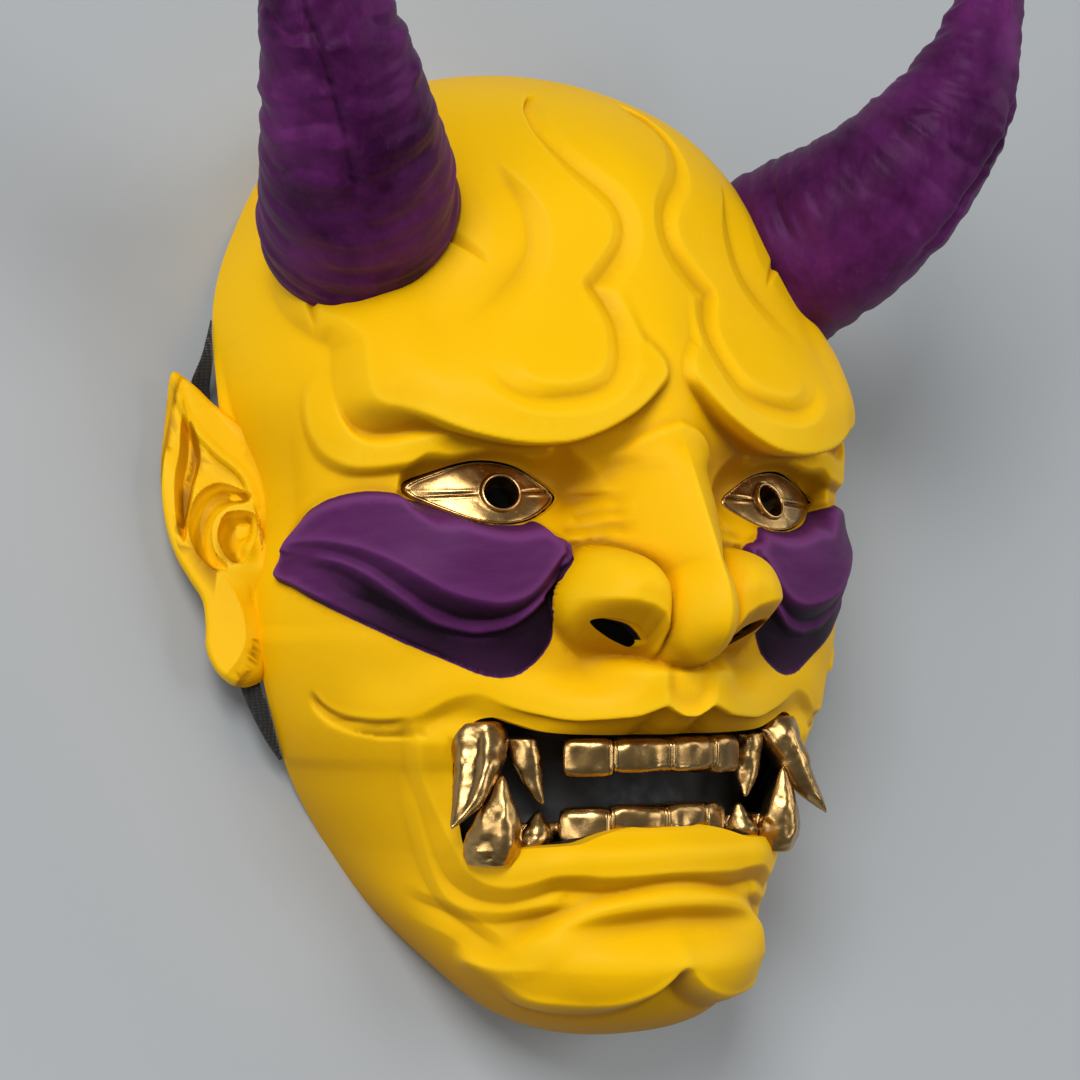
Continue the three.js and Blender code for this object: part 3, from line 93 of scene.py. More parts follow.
def to_face(points):
    """Row metres back to face millimetres."""
    x, y, z = (np.asarray(points, dtype=float) * 1000).T
    y = y + Y_MIDDLE
    z = z + RIM_LEVEL * COS_T
    return np.stack([x, y * COS_T + z * SIN_T, z * COS_T - y * SIN_T], axis=1)


def direction_to_row(v):
    """A direction of the face frame, turned to the row frame."""
    return Vector((v[0], v[1] * COS_T - v[2] * SIN_T, v[1] * SIN_T + v[2] * COS_T))


print("y middle of the face frame", round(Y_MIDDLE, 3))

# %% [markdown]
# The camera stands at the photograph's angle: to the wearer's right of the face,
# level with it. In the row frame that is a view down onto the lying mask. Its axes are
# worked out in the face frame, where yaw and rise are plain angles.

# %% camera
YAW = math.radians(30.0)
RISE = math.radians(-2.06)
DISTANCE = 586.9
FOCAL_PIXELS = 2515.0
FRAME_PIXELS = 1080.0
SENSOR_WIDTH = 36.0
AIM_X = 23.7
AIM_Y = 10.04

look_back = np.array([-math.sin(YAW) * math.cos(RISE), math.sin(RISE), math.cos(YAW) * math.cos(RISE)])
right = np.array([math.cos(YAW), 0.0, math.sin(YAW)])
upward = np.cross(look_back, right)
place = look_back * DISTANCE - right * AIM_X - upward * AIM_Y

camera_data = bpy.data.cameras.new("camera")
camera = bpy.data.objects.new("camera", camera_data)
bpy.context.scene.collection.objects.link(camera)
camera_data.sensor_fit = "HORIZONTAL"
camera_data.sensor_width = SENSOR_WIDTH
camera_data.lens = FOCAL_PIXELS * SENSOR_WIDTH / FRAME_PIXELS
camera_data.clip_start = 0.01
camera_data.clip_end = 20.0
axes = [direction_to_row(v) for v in (right, upward, look_back)]
turn = Matrix([[axes[c][r] for c in range(3)] for r in range(3)]).to_4x4()
camera.matrix_world = Matrix.Translation(to_row_mm(place) / 1000) @ turn
bpy.context.scene.camera = camera
print("camera at", tuple(round(v, 3) for v in camera.location))

# %% [markdown]
# Carving a face by hand is pushing clay up and down along drawn lines. Sculpt brushes
# would need a window, so the same is done with numbers: a few easing functions say how
# a form rises from its edge, and they work on a whole grid of points at once.

# %% easing helpers


def ramp(a, b, v):
    """0 at a, 1 at b, straight between them."""
    return np.clip((v - a) / (b - a), 0.0, 1.0)


def ease(a, b, v):
    """0 at a, 1 at b, with a soft start and end."""
    t = ramp(a, b, v)
    return t * t * (3 - 2 * t)


def mix(a, b, t):
    return a + (b - a) * t


def bump(v):
    """A bell, 1 at 0 and nearly gone at 2."""
    return np.exp(-np.square(v))


def smooth_max(a, b, k):
    """The higher of two surfaces, with a fillet about k wide where they meet."""
    h = np.maximum(k - np.abs(a - b), 0) / k
    return np.maximum(a, b) + h * h * k * 0.25


def unit(v):
    return v / np.maximum(np.linalg.norm(v, axis=-1, keepdims=True), 1e-9)


print("half way up a step, ease gives", float(ease(0, 1, 0.5)))

# %% [markdown]
# The outlines of brows, lips and plates are drawn as a few points with a smooth curve
# through them. A drawn line then answers, for every point of a grid, how far away it
# is, how far along it lies and on which side, which is all that a carved edge needs.

# %% drawn lines
LINE_REACH = 16
FAR_AWAY = 99.0


def spline(points, per_span, closed):
    p = np.array(points, dtype=float)
    n = len(p)
    if closed:
        ring = np.concatenate([p[-1:], p, p[:2]])
    else:
        ring = np.concatenate([2 * p[:1] - p[1:2], p, 2 * p[-1:] - p[-2:-1]])
    out = []
    for i in range(n if closed else n - 1):
        a, b, c, d = ring[i:i + 4]
        for j in range(per_span):
            t = j / per_span
            out.append(0.5 * (2 * b + (c - a) * t + (2 * a - 5 * b + 4 * c - d) * t * t
                              + (-a + 3 * b - 3 * c + d) * t ** 3))
    if not closed:
        out.append(p[-1])
    return np.array(out)


class Line:
    """A drawn line; call it with arrays x, y to get distance, share along and side."""

    def __init__(self, points, closed):
        self.line = spline(points, 6, closed)
        self.closed = closed
        following = np.roll(self.line, -1, axis=0)
        self.a = self.line if closed else self.line[:-1]
        self.b = following if closed else self.line[1:]
        self.low = self.line.min(axis=0) - LINE_REACH
        self.high = self.line.max(axis=0) + LINE_REACH

    def __call__(self, x, y):
        distance = np.full(x.shape, -FAR_AWAY if self.closed else FAR_AWAY)
        share = np.zeros(x.shape)
        side = np.zeros(x.shape)
        near = (x > self.low[0]) & (x < self.high[0]) & (y > self.low[1]) & (y < self.high[1])
        px = x[near]
        py = y[near]
        best = np.full(px.shape, 1e9)
        along = np.zeros(px.shape)
        turn_to = np.zeros(px.shape)
        inside = np.zeros(px.shape, bool)
        count = len(self.a)
        for i in range(count):
            (ax, ay), (bx, by) = self.a[i], self.b[i]
            dx, dy = bx - ax, by - ay
            u = np.clip(((px - ax) * dx + (py - ay) * dy) / (dx * dx + dy * dy + 1e-12), 0, 1)
            ex = px - ax - u * dx
            ey = py - ay - u * dy
            square = ex * ex + ey * ey
            hit = square < best
            best = np.where(hit, square, best)
            along = np.where(hit, (i + u) / count, along)
            turn_to = np.where(hit, np.sign(dx * ey - dy * ex), turn_to)
            if self.closed and dy != 0:
                crosses = (ay > py) != (by > py)
                inside ^= crosses & (px < dx * (py - ay) / dy + ax)
        best = np.sqrt(best)
        distance[near] = np.where(inside, best, -best) if self.closed else best
        share[near] = along
        side[near] = turn_to
        return distance, share, side


def vee(near, left, right, depth):
    """A groove with two flat walls; left is the side a drawn line has on its left."""
    width = np.where(near[2] > 0, left, right)
    return -depth * np.clip(1 - near[0] / np.maximum(width, 0.05), 0, 1)


print("a line reaches", LINE_REACH, "mm beyond its own box")

# %% [markdown]
# The forehead of an oni is a pair of heavy brow plates with cloud-like channels cut in
# them, and a lid roll under each. Each channel is one long stroke of a gouge, so it is
# one drawn line with a groove of two flat walls. All lines are drawn for one half of
# the face: first the distance from the midline along the surface, then the height.

# %% forehead lines
BROW_EDGE = [
    [8.2, 38.3], [6, 34], [3.8, 30.5], [3.8, 26.7], [7.2, 22.9], [11.5, 19.7], [17, 16.9],
    [22.3, 14.7], [28.3, 12.8], [34.5, 12.2], [41, 12.5], [49.6, 14.2], [57.1, 16.4], [64.6, 18.1],
    [69.5, 18.9], [72.5, 20.7], [73.6, 24.1], [73.5, 30], [73.6, 34.5], [77.6, 38.6], [82.5, 41],
    [92, 50], [100, 76], [60, 106], [18, 104], [14, 70],
]
PAD_GROOVE = [
    [11, 99.5], [15.3, 97], [18.8, 92.6], [19.4, 87.5], [18, 83], [15.6, 78.6], [12.8, 75],
    [9.5, 71.6], [6.7, 67.5], [5.8, 62.9], [7, 58], [10.5, 53], [15.4, 47.8],
]
LOBE_GROOVE = [
    [15.4, 47.8], [13.8, 44], [12.7, 40], [12.8, 36], [13.9, 31.6], [15.8, 27.4], [18.9, 24],
    [24, 21.7], [30.1, 20.6], [35.2, 20.5], [39.7, 21.8], [43.2, 24], [45.5, 27], [46.6, 31.2],
]
CRESCENT = [
    [33.9, 79.6], [31.8, 74.3], [29.8, 68.7], [28.9, 63.6], [29.1, 58.2], [30.9, 53.4], [34.2, 49.2],
    [39.2, 44.6], [45.5, 39.8], [51.3, 36.2],
]
HORN_CREASE = [[48, 58.4], [43.8, 56], [40.3, 53.2], [36.6, 49.4]]
BROW_NOTCH = [[83.9, 43], [83.7, 39.3], [83.4, 34.7]]
LID_ROLL = [
    [79.8, 27.6], [84, 26], [86.6, 22], [86.4, 16.6], [84.7, 12.5], [82, 9], [78.4, 6.6], [74.5, 5.4],
    [69.4, 5.3], [63.3, 5.9], [54.7, 7.1], [48.2, 8.1], [39.7, 8.8], [30, 8.2], [27, 10],
    [34.9, 11.6], [40.6, 12.2], [47, 13], [53.5, 13], [61.9, 11.6], [66.6, 10.8], [70.8, 10.9],
    [74.5, 12.6], [77, 15.5], [78.6, 19.1], [79.4, 23],
]
BRIDGE_FOLD = [[14, 7.6], [11.7, 9.5], [8.6, 12.1], [5, 14.2], [0, 15.7]]
in_brow = Line(BROW_EDGE, True)
on_pad_groove = Line(PAD_GROOVE, False)
on_lobe_groove = Line(LOBE_GROOVE, False)
on_crescent = Line(CRESCENT, False)
on_horn_crease = Line(HORN_CREASE, False)
on_brow_notch = Line(BROW_NOTCH, False)
in_lid_roll = Line(LID_ROLL, True)
on_bridge_fold = Line(BRIDGE_FOLD, False)
print("forehead drawn with", len(in_brow.line), "points round the brow plate")

# %% forehead grooves
PAD_DEPTH = 2.0
LOBE_DEPTH = 2.1
CRESCENT_DEPTH = 2.1
CREASE_DEPTH = 1.9
NOTCH_DEPTH = 2.1


def forehead_grooves(a, y):
    """The deepest of the cut lines at each point: pad, lobe, crescent, horn crease, notch."""
    pad = on_pad_groove(a, y)
    lobe = on_lobe_groove(a, y)
    arc = on_crescent(a, y)
    crease = on_horn_crease(a, y)
    notch = on_brow_notch(a, y)
    arc_depth = CRESCENT_DEPTH * ease(0, 0.2, arc[1]) * ease(1, 0.6, arc[1])
    return np.minimum.reduce([
        vee(pad, 0.2 + 3.2 * ease(0.1, 0.5, pad[1]), 4.0, PAD_DEPTH * ease(0, 0.1, pad[1])),
        vee(lobe, 3.4 + 3 * ease(0.6, 1, lobe[1]), 3.8, LOBE_DEPTH * ease(1, 0.72, lobe[1])),
        vee(arc, 9, 0.5 + 3.9 * ease(0, 0.36, arc[1]), arc_depth),
        vee(crease, 1.0, 2.6 - 2.2 * crease[1], CREASE_DEPTH - 1.5 * crease[1]),
        vee(notch, 1.5 - 1.2 * notch[1], 2.2 - 1.9 * notch[1], NOTCH_DEPTH - 1.8 * notch[1]),
    ])


print("grooves up to", max(PAD_DEPTH, LOBE_DEPTH, CRESCENT_DEPTH, CREASE_DEPTH, NOTCH_DEPTH), "mm deep")

# %% forehead and brows
BRIDGE_HEIGHT = 6.6
FOREHEAD_KEEL = 1.4
SOCKET_DEPTH = 6.5
TEMPLE_DEPTH = 4.6
BROW_HEIGHT = 9.6
BROW_CREST = 1.0
BROW_OVERHANG = 2.6
BRIDGE_STEP = 2.1


def forehead(x, a, y):
    """Height over the plain head, and the shift in y that makes the brows overhang."""
    h = BRIDGE_HEIGHT * bump(x / 13) * ease(56, 27, y) * ease(-6, 14, y)
    h = h + FOREHEAD_KEEL * bump(x / 9) * ease(95, 78, y) * ease(40, 56, y)
    socket = bump((a - 33) / 19) * bump((y - 4) / 9)
    h = h - SOCKET_DEPTH * socket - TEMPLE_DEPTH * bump((y - 1) / 21) * ease(76, 94, a)
    brow = in_brow(a, y)[0]
    outer_part = ease(54, 68, a)
    rise = ease(mix(50, 60, outer_part), mix(12, 22, outer_part), y)
    brow_height = BROW_HEIGHT * rise * mix(1, 0.8, outer_part)
    brow_step = ramp(-mix(1.8, 5.6, outer_part), 0.6, brow)
    brow_step = mix(brow_step, brow_step * brow_step * (3 - 2 * brow_step), 0.3)
    h = h + brow_step * (brow_height + SOCKET_DEPTH * socket - 4.2 * bump(a / 12) * ease(50, 20, y))
    h = h + brow_step * BROW_CREST * ease(0, 9, brow) * ease(40, 24, y)
    dy = -BROW_OVERHANG * ease(-2, 0.6, brow) * ease(4, 0.6, brow) * ease(26, 14, y) * (1 - outer_part)
    h = h + forehead_grooves(a, y) * np.where(brow > -2.5, 1, ease(30, 48, y))
    roll = in_lid_roll(a, y)[0]
    outer_roll = ease(44, 66, a)
    lid = mix(1.3, 2.8, outer_roll) * mix(1, ease(29, 12, y), outer_roll)
    h = h + (1 - brow_step) * lid * ease(-mix(1.7, 2.2, outer_roll), 0.7, roll)
    fold = on_bridge_fold(a, y)
    on_bridge = ease(22.8, 21.2, y) * ease(15, 8, a)
    h = h + BRIDGE_STEP * on_bridge * np.where(fold[2] > 0, 1, ramp(1.1, 0, fold[0])) * ease(5, 9, y)
    return h, dy


print("brow plates stand", BROW_HEIGHT, "mm out")

# %% [markdown]
# The nose is one keel with two round wings and a ball at the tip, blended as a carver
# blends clay: the higher form wins, with a small fillet between. Spheres joined to the
# shell would leave hard seams, so the forms are heights on the same grid.

# %% nose lines
SIDE_FOLDS = [
    [[25, -3.6], [18, -1.8], [14.6, -1.2], [11, -2]],
    [[21.5, -5.8], [16, -4.4], [11.3, -4.2]],
    [[26, -9.2], [20, -8], [14, -7.6], [11.3, -8.8]],
    [[27.5, -13], [24, -12.4], [20.5, -12.6]],
]
WING_CREST = [
    [8.8, -31], [11, -27.2], [14, -25.4], [18, -24.4], [22, -23.9], [26, -23.8], [30, -25.2], [31.4, -28],
]
WING_OUTLINE = [
    [5.6, -24], [6.4, -19.6], [8.6, -16], [11.6, -13.4], [15.2, -12], [19, -11.8], [22.6, -13],
    [25.6, -15.6], [27.6, -19], [28.6, -23], [28.2, -27.4], [26.4, -31.4], [23, -35.6], [18, -38.4],
    [12, -40], [7, -39], [5.6, -32],
]
NOSE_PROFILE = [
    [26, 15.4], [21.4, 16], [15, 16.6], [5, 22.4], [-5.5, 28.1], [-15.5, 33.3], [-24.4, 35.6],
    [-30, 35], [-34, 32], [-38.2, 25.4], [-40.5, 22.6],
]
NOSTRIL_OUTLINE = [
    [10.8, -33.4], [12.6, -31.4], [15, -29.7], [18.4, -28.7], [21.6, -28.3], [23.8, -28.9],
    [22.4, -30.4], [19.6, -32.1], [16, -33.8], [13, -34.9], [11.3, -34.7],
]
on_side_folds = [Line(fold, False) for fold in SIDE_FOLDS]
in_wing = Line(WING_OUTLINE, True)
nose_line = spline(NOSE_PROFILE, 8, False)
wing_crest = np.array(WING_CREST)
print("nose profile of", len(nose_line), "points")

# %% nose
SIDE_FOLD_DEPTH = 1.5
WING_LEVEL = 28.6
WING_FOOT = 6
TIP_WIDTH = 8.4
TIP_LENGTH = 12.5
TIP_MIDDLE = -26
TIP_BASE = 20
TIP_HEIGHT = 15.6


def nose_ridge(y):
    return np.interp(-y, -nose_line[:, 0], nose_line[:, 1])


def nose_wing(a, y):
    """Distance inside the wing's outline, and the level of its round top."""
    wing_in = in_wing(a, y)[0]
    radius = mix(5.4, 11, ease(9, 20, a)) * mix(1, 0.85, ease(-20, -13, y))
    arc = 1 - np.clip(wing_in / radius, 0, 1)
    level = WING_LEVEL - 0.16 * np.maximum(a - 13, 0) - 0.012 * (y + 20) ** 2
    below = np.maximum(np.interp(a, wing_crest[:, 0], wing_crest[:, 1]) - y, 0)
    level = level - 1.12 * below * ease(7, 10, a) - 0.1 * np.maximum(-34 - y, 0) ** 2
    return wing_in, WING_FOOT + (level - WING_FOOT) * np.sqrt(np.maximum(1 - arc * arc, 0))


def nose(a, y, base_z, h):
    """Height that the nose adds, and by how much its wing stands over the cheek."""
    z_now = base_z + h
    ridge = nose_ridge(y)
    flank_width = mix(12, 19, ease(14, -4, y)) - 5 * ease(-10, -20, y)
    t = np.clip(a / flank_width, 0, 1)
    keel = ease(-26, -16, y)
    fall = mix(t ** mix(1.25, 1.0, keel), ease(0.1, 1, t), mix(0.35, 0.25, keel))
    fall = mix(fall, ease(0, 1, t), ease(4, 16, y) * 0.45)
    flank = ridge - (ridge - z_now + 2) * fall
    on = ease(24, 14, y) * ease(-42.5, -38.5, y)
    z = np.where((a < flank_width + 2) & (on > 0), mix(z_now, smooth_max(z_now, flank, 2), on), z_now)
    for line in on_side_folds:
        near = line(a, y)
        z = z + vee(near, 1.9, 2.3, SIDE_FOLD_DEPTH) * ease(0, 0.2, near[1]) * ease(1, 0.75, near[1])
    wing_in, wing = nose_wing(a, y)
    lead = np.where(wing_in > 0, wing - z, -9)
    z = np.where(wing_in > 0, smooth_max(z, wing, 2.2 + 2.6 * ease(-24, -14, y)), z)
    tx = a / TIP_WIDTH
    ty = (y - TIP_MIDDLE) / TIP_LENGTH
    tr = tx * tx + ty * ty
    tip = TIP_BASE + TIP_HEIGHT * np.sqrt(np.maximum(1 - tr, 0))
    z = np.where(tr < 1, smooth_max(z, tip, 6), z)
    return z - z_now, lead


print("nose stands", round(float(nose_ridge(TIP_MIDDLE)), 1), "mm out at its tip")

# %% [markdown]
# The open mouth has an overhanging upper lip, two rolls round the corners and a fold
# that runs out over the cheek. The lip could be a separate bent strip, but on the
# casting it grows out of the cheek, so it is a step on the same surface.

# %% mouth lines
LIP_EDGE = [
    [0, -49.2], [1.8, -49], [4, -48], [6.4, -46.9], [9.6, -47.9], [12.6, -49], [16.5, -49.5], [20.4, -49.8],
    [24.4, -50], [28.2, -49.6], [31.2, -48.9], [35, -48.2], [39.1, -47.2], [42.5, -46], [45.7, -45.3],
    [49.1, -45.8], [52.5, -47], [55.7, -48.8], [58.7, -50.3], [64, -51.4], [70, -51.4],
]
MOUTH_OUTLINE = [
    [-8, -55.4], [8, -55.4], [20, -55.2], [29, -54.6], [35, -52.8], [40, -51.2], [44, -52.8], [46.4, -58],
    [46.4, -64], [45.4, -71], [44.4, -77], [43.6, -81.4], [41.4, -84], [38, -84], [34.5, -82], [31, -81.2],
    [27, -80.7], [22.5, -80.2], [17.5, -78.6], [12, -77.3], [6, -76.7], [-8, -76.7],
]
LIP_RING = [
    [-12, -48], [30, -48], [52, -48], [58.4, -51], [58.6, -56], [57.6, -62], [55.4, -68.5], [53, -74.6],
    [50.6, -81], [48.4, -85.6], [44.6, -88.4], [39.8, -89.2], [35, -88.2], [29.9, -86.4], [24.3, -86.2],
    [18.5, -86.7], [11.7, -86.6], [0, -86.2], [-12, -86.6],
]
OUTER_RING = [
    [-12, -60], [30, -60], [54, -60], [58.4, -63], [58, -70], [56.8, -77], [55.6, -84], [53.9, -90],
    [51.7, -93], [48.4, -94.5], [44.1, -95], [38, -94.8], [30, -92.6], [24, -90], [0, -88], [-12, -88],
]
CHEEK_FOLD = [
    [85, -44.4], [81.9, -47.9], [77.7, -50.3], [72.6, -51.6], [66.4, -52], [61.8, -51.6], [58, -50.4],
]
FOLD_FOOT = [
    [85.4, -44.6], [83.8, -47.8], [80.6, -51.2], [74.6, -53.9], [68.1, -55.2], [61.9, -55.6], [57, -55.2],
]
on_lip_edge = Line(LIP_EDGE, False)
in_lip_ring = Line(LIP_RING, True)
in_outer_ring = Line(OUTER_RING, True)
on_cheek_fold = Line(CHEEK_FOLD, False)
on_fold_foot = Line(FOLD_FOOT, False)
print("mouth drawn with", len(in_lip_ring.line), "points round the lips")

# %% lips and cheek fold
LIP_OVERHANG = 1.4
PHILTRUM_DEPTH = 1.9
LOWER_LIP_HEIGHT = 4.6


def upper_lip(a, y, base_z, h, dy):
    """The lip stands on the plain head, whatever lies under it."""
    z = base_z + h
    lip = on_lip_edge(a, y)
    over = np.where(lip[2] > 0, lip[0], -lip[0])
    band = (y < -30) & (y > -64)
    lift = (1.8 + 5 * ease(48, 8, a) + 7.4 * bump(a / 22)) * ease(84, 66, a)
    fall = mix(ease(13, 0.4, over), 1, ease(22, 9, a)) * mix(1, ease(-34, -41, y), ease(30, 20, a))
    foot = mix(ramp(-3.4, 0, over), 1 - 0.8 * ramp(0, -5.4, over), ease(52, 42, a))
    body = base_z + lift * np.where(over > 0, fall, foot * ease(-7, -5.6, over))
    held = ease(-29, -34, y) * ease(-63.5, -60, y)
    h = h + held * np.where(band, smooth_max(z, body, 1.2) - z, 0)
    push = LIP_OVERHANG * ease(3, 0.2, over) * ease(-1.6, 0.2, over) * ease(46, 30, a) * ease(-44, -47, y)
    dy = dy - np.where(band, push, 0)
    around = np.hypot(a, np.maximum(-(y + 43.5), 0) * 1.1)
    return h - PHILTRUM_DEPTH * ease(7.4, 3.6, around) * ease(-37.5, -40, y), dy


def mouth_rolls(a, y, h):
    """Two rolls round the corners, and the lower lip over the chin."""
    ring = in_lip_ring(a, y)[0]
    outer_ring = in_outer_ring(a, y)[0]
    low = ease(-70, -84, y)
    inner_roll = mix(2.2, 3.8, low) * ramp(-mix(2.0, 3.6, low), 0.4, ring)
    h = h + inner_roll * ease(13, 5, ring) * ease(-50, -57, y)
    outer_roll = mix(1.0, 1.9, low) * ramp(-2.4, 0.4, outer_ring)
    h = h + outer_roll * ease(16, 8, outer_ring) * ease(-62, -72, y) * ease(20, 32, a)
    h = h + LOWER_LIP_HEIGHT * ease(46, 22, a) * ease(-73, -77, y) * ease(-99, -92, y)
    return h + 1.0 * bump((y + 81 + 0.06 * a) / 3.6) * ease(48, 34, a)


def cheek_folds(a, y, h):
    """A raised fold from the corner of the mouth, cut sharply above and soft below."""
    fold = on_cheek_fold(a, y)
    foot = on_fold_foot(a, y)
    between = (fold[2] < 0) & (foot[2] > 0) & (a > 56) & (a < 86)
    roll = ramp(0, 0.25, fold[1]) * ramp(1, 0.92, fold[1])
    h = h + np.where(between, 1.5 * ramp(0, 1.0, foot[0]) * roll, 0)
    h = h + vee(fold, 2.2, 0.9, 1.3) * ease(0, 0.2, fold[1]) * ease(60, 64, a)
    below = (foot[2] < 0) & (a > 56)
    return h - np.where(below, 0.6 * ease(2.6, 0, foot[0]), 0) * ease(0, 0.4, foot[1])


print("lip line of", len(on_lip_edge.line), "points")

# %% [markdown]
# The chin is a heavy plate under a roll, with a short cleft. Its edge is sharp in
# front and dies away towards the jaw, so the step widens from a wall to a slope.

# %% chin
CHIN_FOLD = [[66, -91], [60.3, -93.6], [53.5, -95.6], [48, -98.6], [41.8, -102.4], [38, -101.6]]
CHIN_ROLL = [
    [42, -106], [37, -103.4], [32.6, -100.6], [27.9, -97.7], [19.2, -94.2], [10.3, -91.9], [4, -91],
    [0, -90.8],
]
CHIN_PLATE = [
    [-9, -93], [0, -92.6], [9.3, -92.8], [19.2, -94], [26, -96], [32, -98.6], [38, -102], [44, -104.4],
    [49, -105.4], [45, -108.4], [39.7, -111], [33.5, -114.4], [26.2, -116.2], [19.4, -116.8], [13, -116.2],
    [6.4, -113.8], [2.5, -110.8], [0, -108.6], [-2.5, -110.8],
]
CHIN_ROLL_HEIGHT = 2.3
CHIN_HEIGHT = 7.2
on_chin_fold = Line(CHIN_FOLD, False)
on_chin_roll = Line(CHIN_ROLL, False)
in_chin_plate = Line(CHIN_PLATE, True)


def chin(a, y, h):
    fold = on_chin_fold(a, y)
    h = h + vee(fold, 5, 3, 1.3) * ease(0, 0.45, fold[1]) * ease(1, 0.8, fold[1])
    roll = on_chin_roll(a, y)
    width = np.where(roll[2] < 0, ease(2.8, 0, roll[0]), ease(7, 0, roll[0]))
    h = h + CHIN_ROLL_HEIGHT * ease(0, 0.45, roll[1]) * width
    plate = in_chin_plate(a, y)[0]
    rise = mix(0.6, CHIN_HEIGHT, ease(-93, -108, y))
    step = mix(ramp(-1.8, 1.2, plate), ease(-5, 9, plate), ease(28, 44, a))
    h = h + rise * step * mix(1, 0.8, ease(4, 40, a))
    return h + 0.7 * bump(a / 3.2) * ease(-94, -104, y) * ease(-109, -106.5, y)


print("chin plate stands", CHIN_HEIGHT, "mm out")

# %% [markdown]
# The purple cheek plates are raised flames: a crest runs across each, with a wall
# down to a valley, a bead and a long slope to the edge. The wall is as wide as the
# space between the drawn crest and the drawn valley, which makes it die out at both ends.

# %% cheek plates
CHEEK_OUTLINE = [
    [97.5, -18.7], [95.6, -14.2], [93, -10.2], [88, -5.9], [82.4, -2.9], [77.3, -1.2], [72, -0.4],
    [66.5, -0.5], [60, -1.8], [53.5, -3.2], [48.1, -5.8], [44.1, -7.3], [39.7, -7.9], [34.8, -7.8],
    [31, -7], [28, -10], [24.6, -11.5], [24.6, -14], [26.4, -18], [28.2, -21.8], [28.7, -26],
    [28.3, -30], [28.6, -33], [30.6, -36.4], [33.6, -39], [37, -40.9], [41.2, -41.3], [45.1, -40.4],
    [49.3, -38.6], [53.7, -36.7], [62.8, -33], [72.2, -28.8], [82.4, -24.4], [90, -21.2],
]
CHEEK_CREST = [
    [93.5, -11.3], [87, -10.9], [82.7, -10.9], [78.6, -11.5], [74.4, -12.6], [70.3, -14.3], [66.2, -16.4],
    [62.1, -18.9], [57.4, -21.6], [52.2, -23.7], [46.7, -24.9], [41.7, -25.2], [37, -23.9], [33.6, -21.2],
    [30.8, -17.6], [28, -14.2], [24.6, -12],
]
CHEEK_VALLEY = [
    [93, -12], [87, -12.1], [82.7, -12.7], [78.6, -13.7], [74.9, -14.9], [70.6, -17], [66.6, -19.6],
    [61.9, -22.7], [57.1, -25.5], [50.3, -28], [46, -28.5], [42.3, -28.4], [37.5, -26.9], [33.3, -23.9],
    [30.4, -20.4], [28.2, -17.2],
]
CHEEK_LOWER = [
    [87, -14.2], [83, -14.8], [79.1, -15.6], [74.8, -17.4], [70.6, -19.8], [66.1, -22.8], [61.2, -26],
    [57.5, -28.4], [53.9, -30], [47.5, -31.5], [43.3, -31.4], [38.7, -30.2], [34.8, -27.4], [32, -24.4],
]
PLATE_HEIGHT = 2.2
PLATE_CROWN = 4.6
CREST_HEIGHT = 1.4
WALL_DEPTH = 3.0
BEAD_HEIGHT = 0.9
in_cheek = Line(CHEEK_OUTLINE, True)
on_cheek_crest = Line(CHEEK_CREST, False)
on_cheek_valley = Line(CHEEK_VALLEY, False)
on_cheek_lower = Line(CHEEK_LOWER, False)


def cheek_plate(a, y):
    cheek = in_cheek(a, y)[0]
    crest = on_cheek_crest(a, y)
    valley = on_cheek_valley(a, y)
    lower = on_cheek_lower(a, y)
    above_crest = crest[2] < 0
    above_valley = valley[2] < 0
    above_lower = lower[2] < 0
    top = PLATE_HEIGHT + PLATE_CROWN * bump((a - 56) / 24) * bump((y + 16) / 15)
    top = top + CREST_HEIGHT * ease(7, 0, crest[0])
    wall = ramp(0, 1, crest[0] / np.maximum(crest[0] + valley[0], 0.05))
    wall_width = np.where(above_valley, crest[0] + valley[0], crest[0] - valley[0])
    valley_z = top - np.clip(0.9 * (wall_width - 0.5), 0.1, WALL_DEPTH)
    bead = ramp(0, 1, valley[0] / np.maximum(valley[0] + lower[0], 0.05))
    started = ease(0, 0.15, lower[1])
    bead_z = valley_z + BEAD_HEIGHT * bead * started
    slope = mix(0.1, 0.52, ease(84, 60, a))
    low_z = valley_z + (BEAD_HEIGHT - 1.2 * ramp(0, 2, lower[0])) * started - slope * lower[0]
    z = np.where(above_crest, top, mix(top, valley_z, wall))
    z = np.where(above_valley, z, np.where(above_lower, bead_z, low_z))
    z = np.maximum(z, 0.6 + 1.4 * ease(70, 86, a))
    return np.where(cheek > -6, ramp(-0.7, 0.6, cheek) * z, 0)


print("cheek plate outline of", len(in_cheek.line), "points")

# %% [markdown]
# Now the forms are laid one on the other, in the order a carver would: forehead,
# cheek plates, nose, mouth, and last the eye sockets, which cut the rest back to
# just over the inserts. The paint line of the plates is kept too.

# %% carving
EYE_OUTLINE = [
    [57.5, 0.8], [50, 5.2], [42, 7.4], [34, 6.6], [27.5, 3.6], [22.6, -0.6],
    [27, -4.4], [33, -6.8], [40, -7.3], [48, -5.2],
]
EYE_MIDDLE = 38.7
SOCKET_OVER_EYE = 0.9
in_eye = Line(EYE_OUTLINE, True)


def eye_surface(x, y):
    """Level of the eyeball, a dome that falls away outwards and upwards."""
    a = np.abs(x) - EYE_MIDDLE
    return -1.4 - 0.27 * a - 0.378 * (y - 0.25) - 5 * (a / 16.8) ** 2


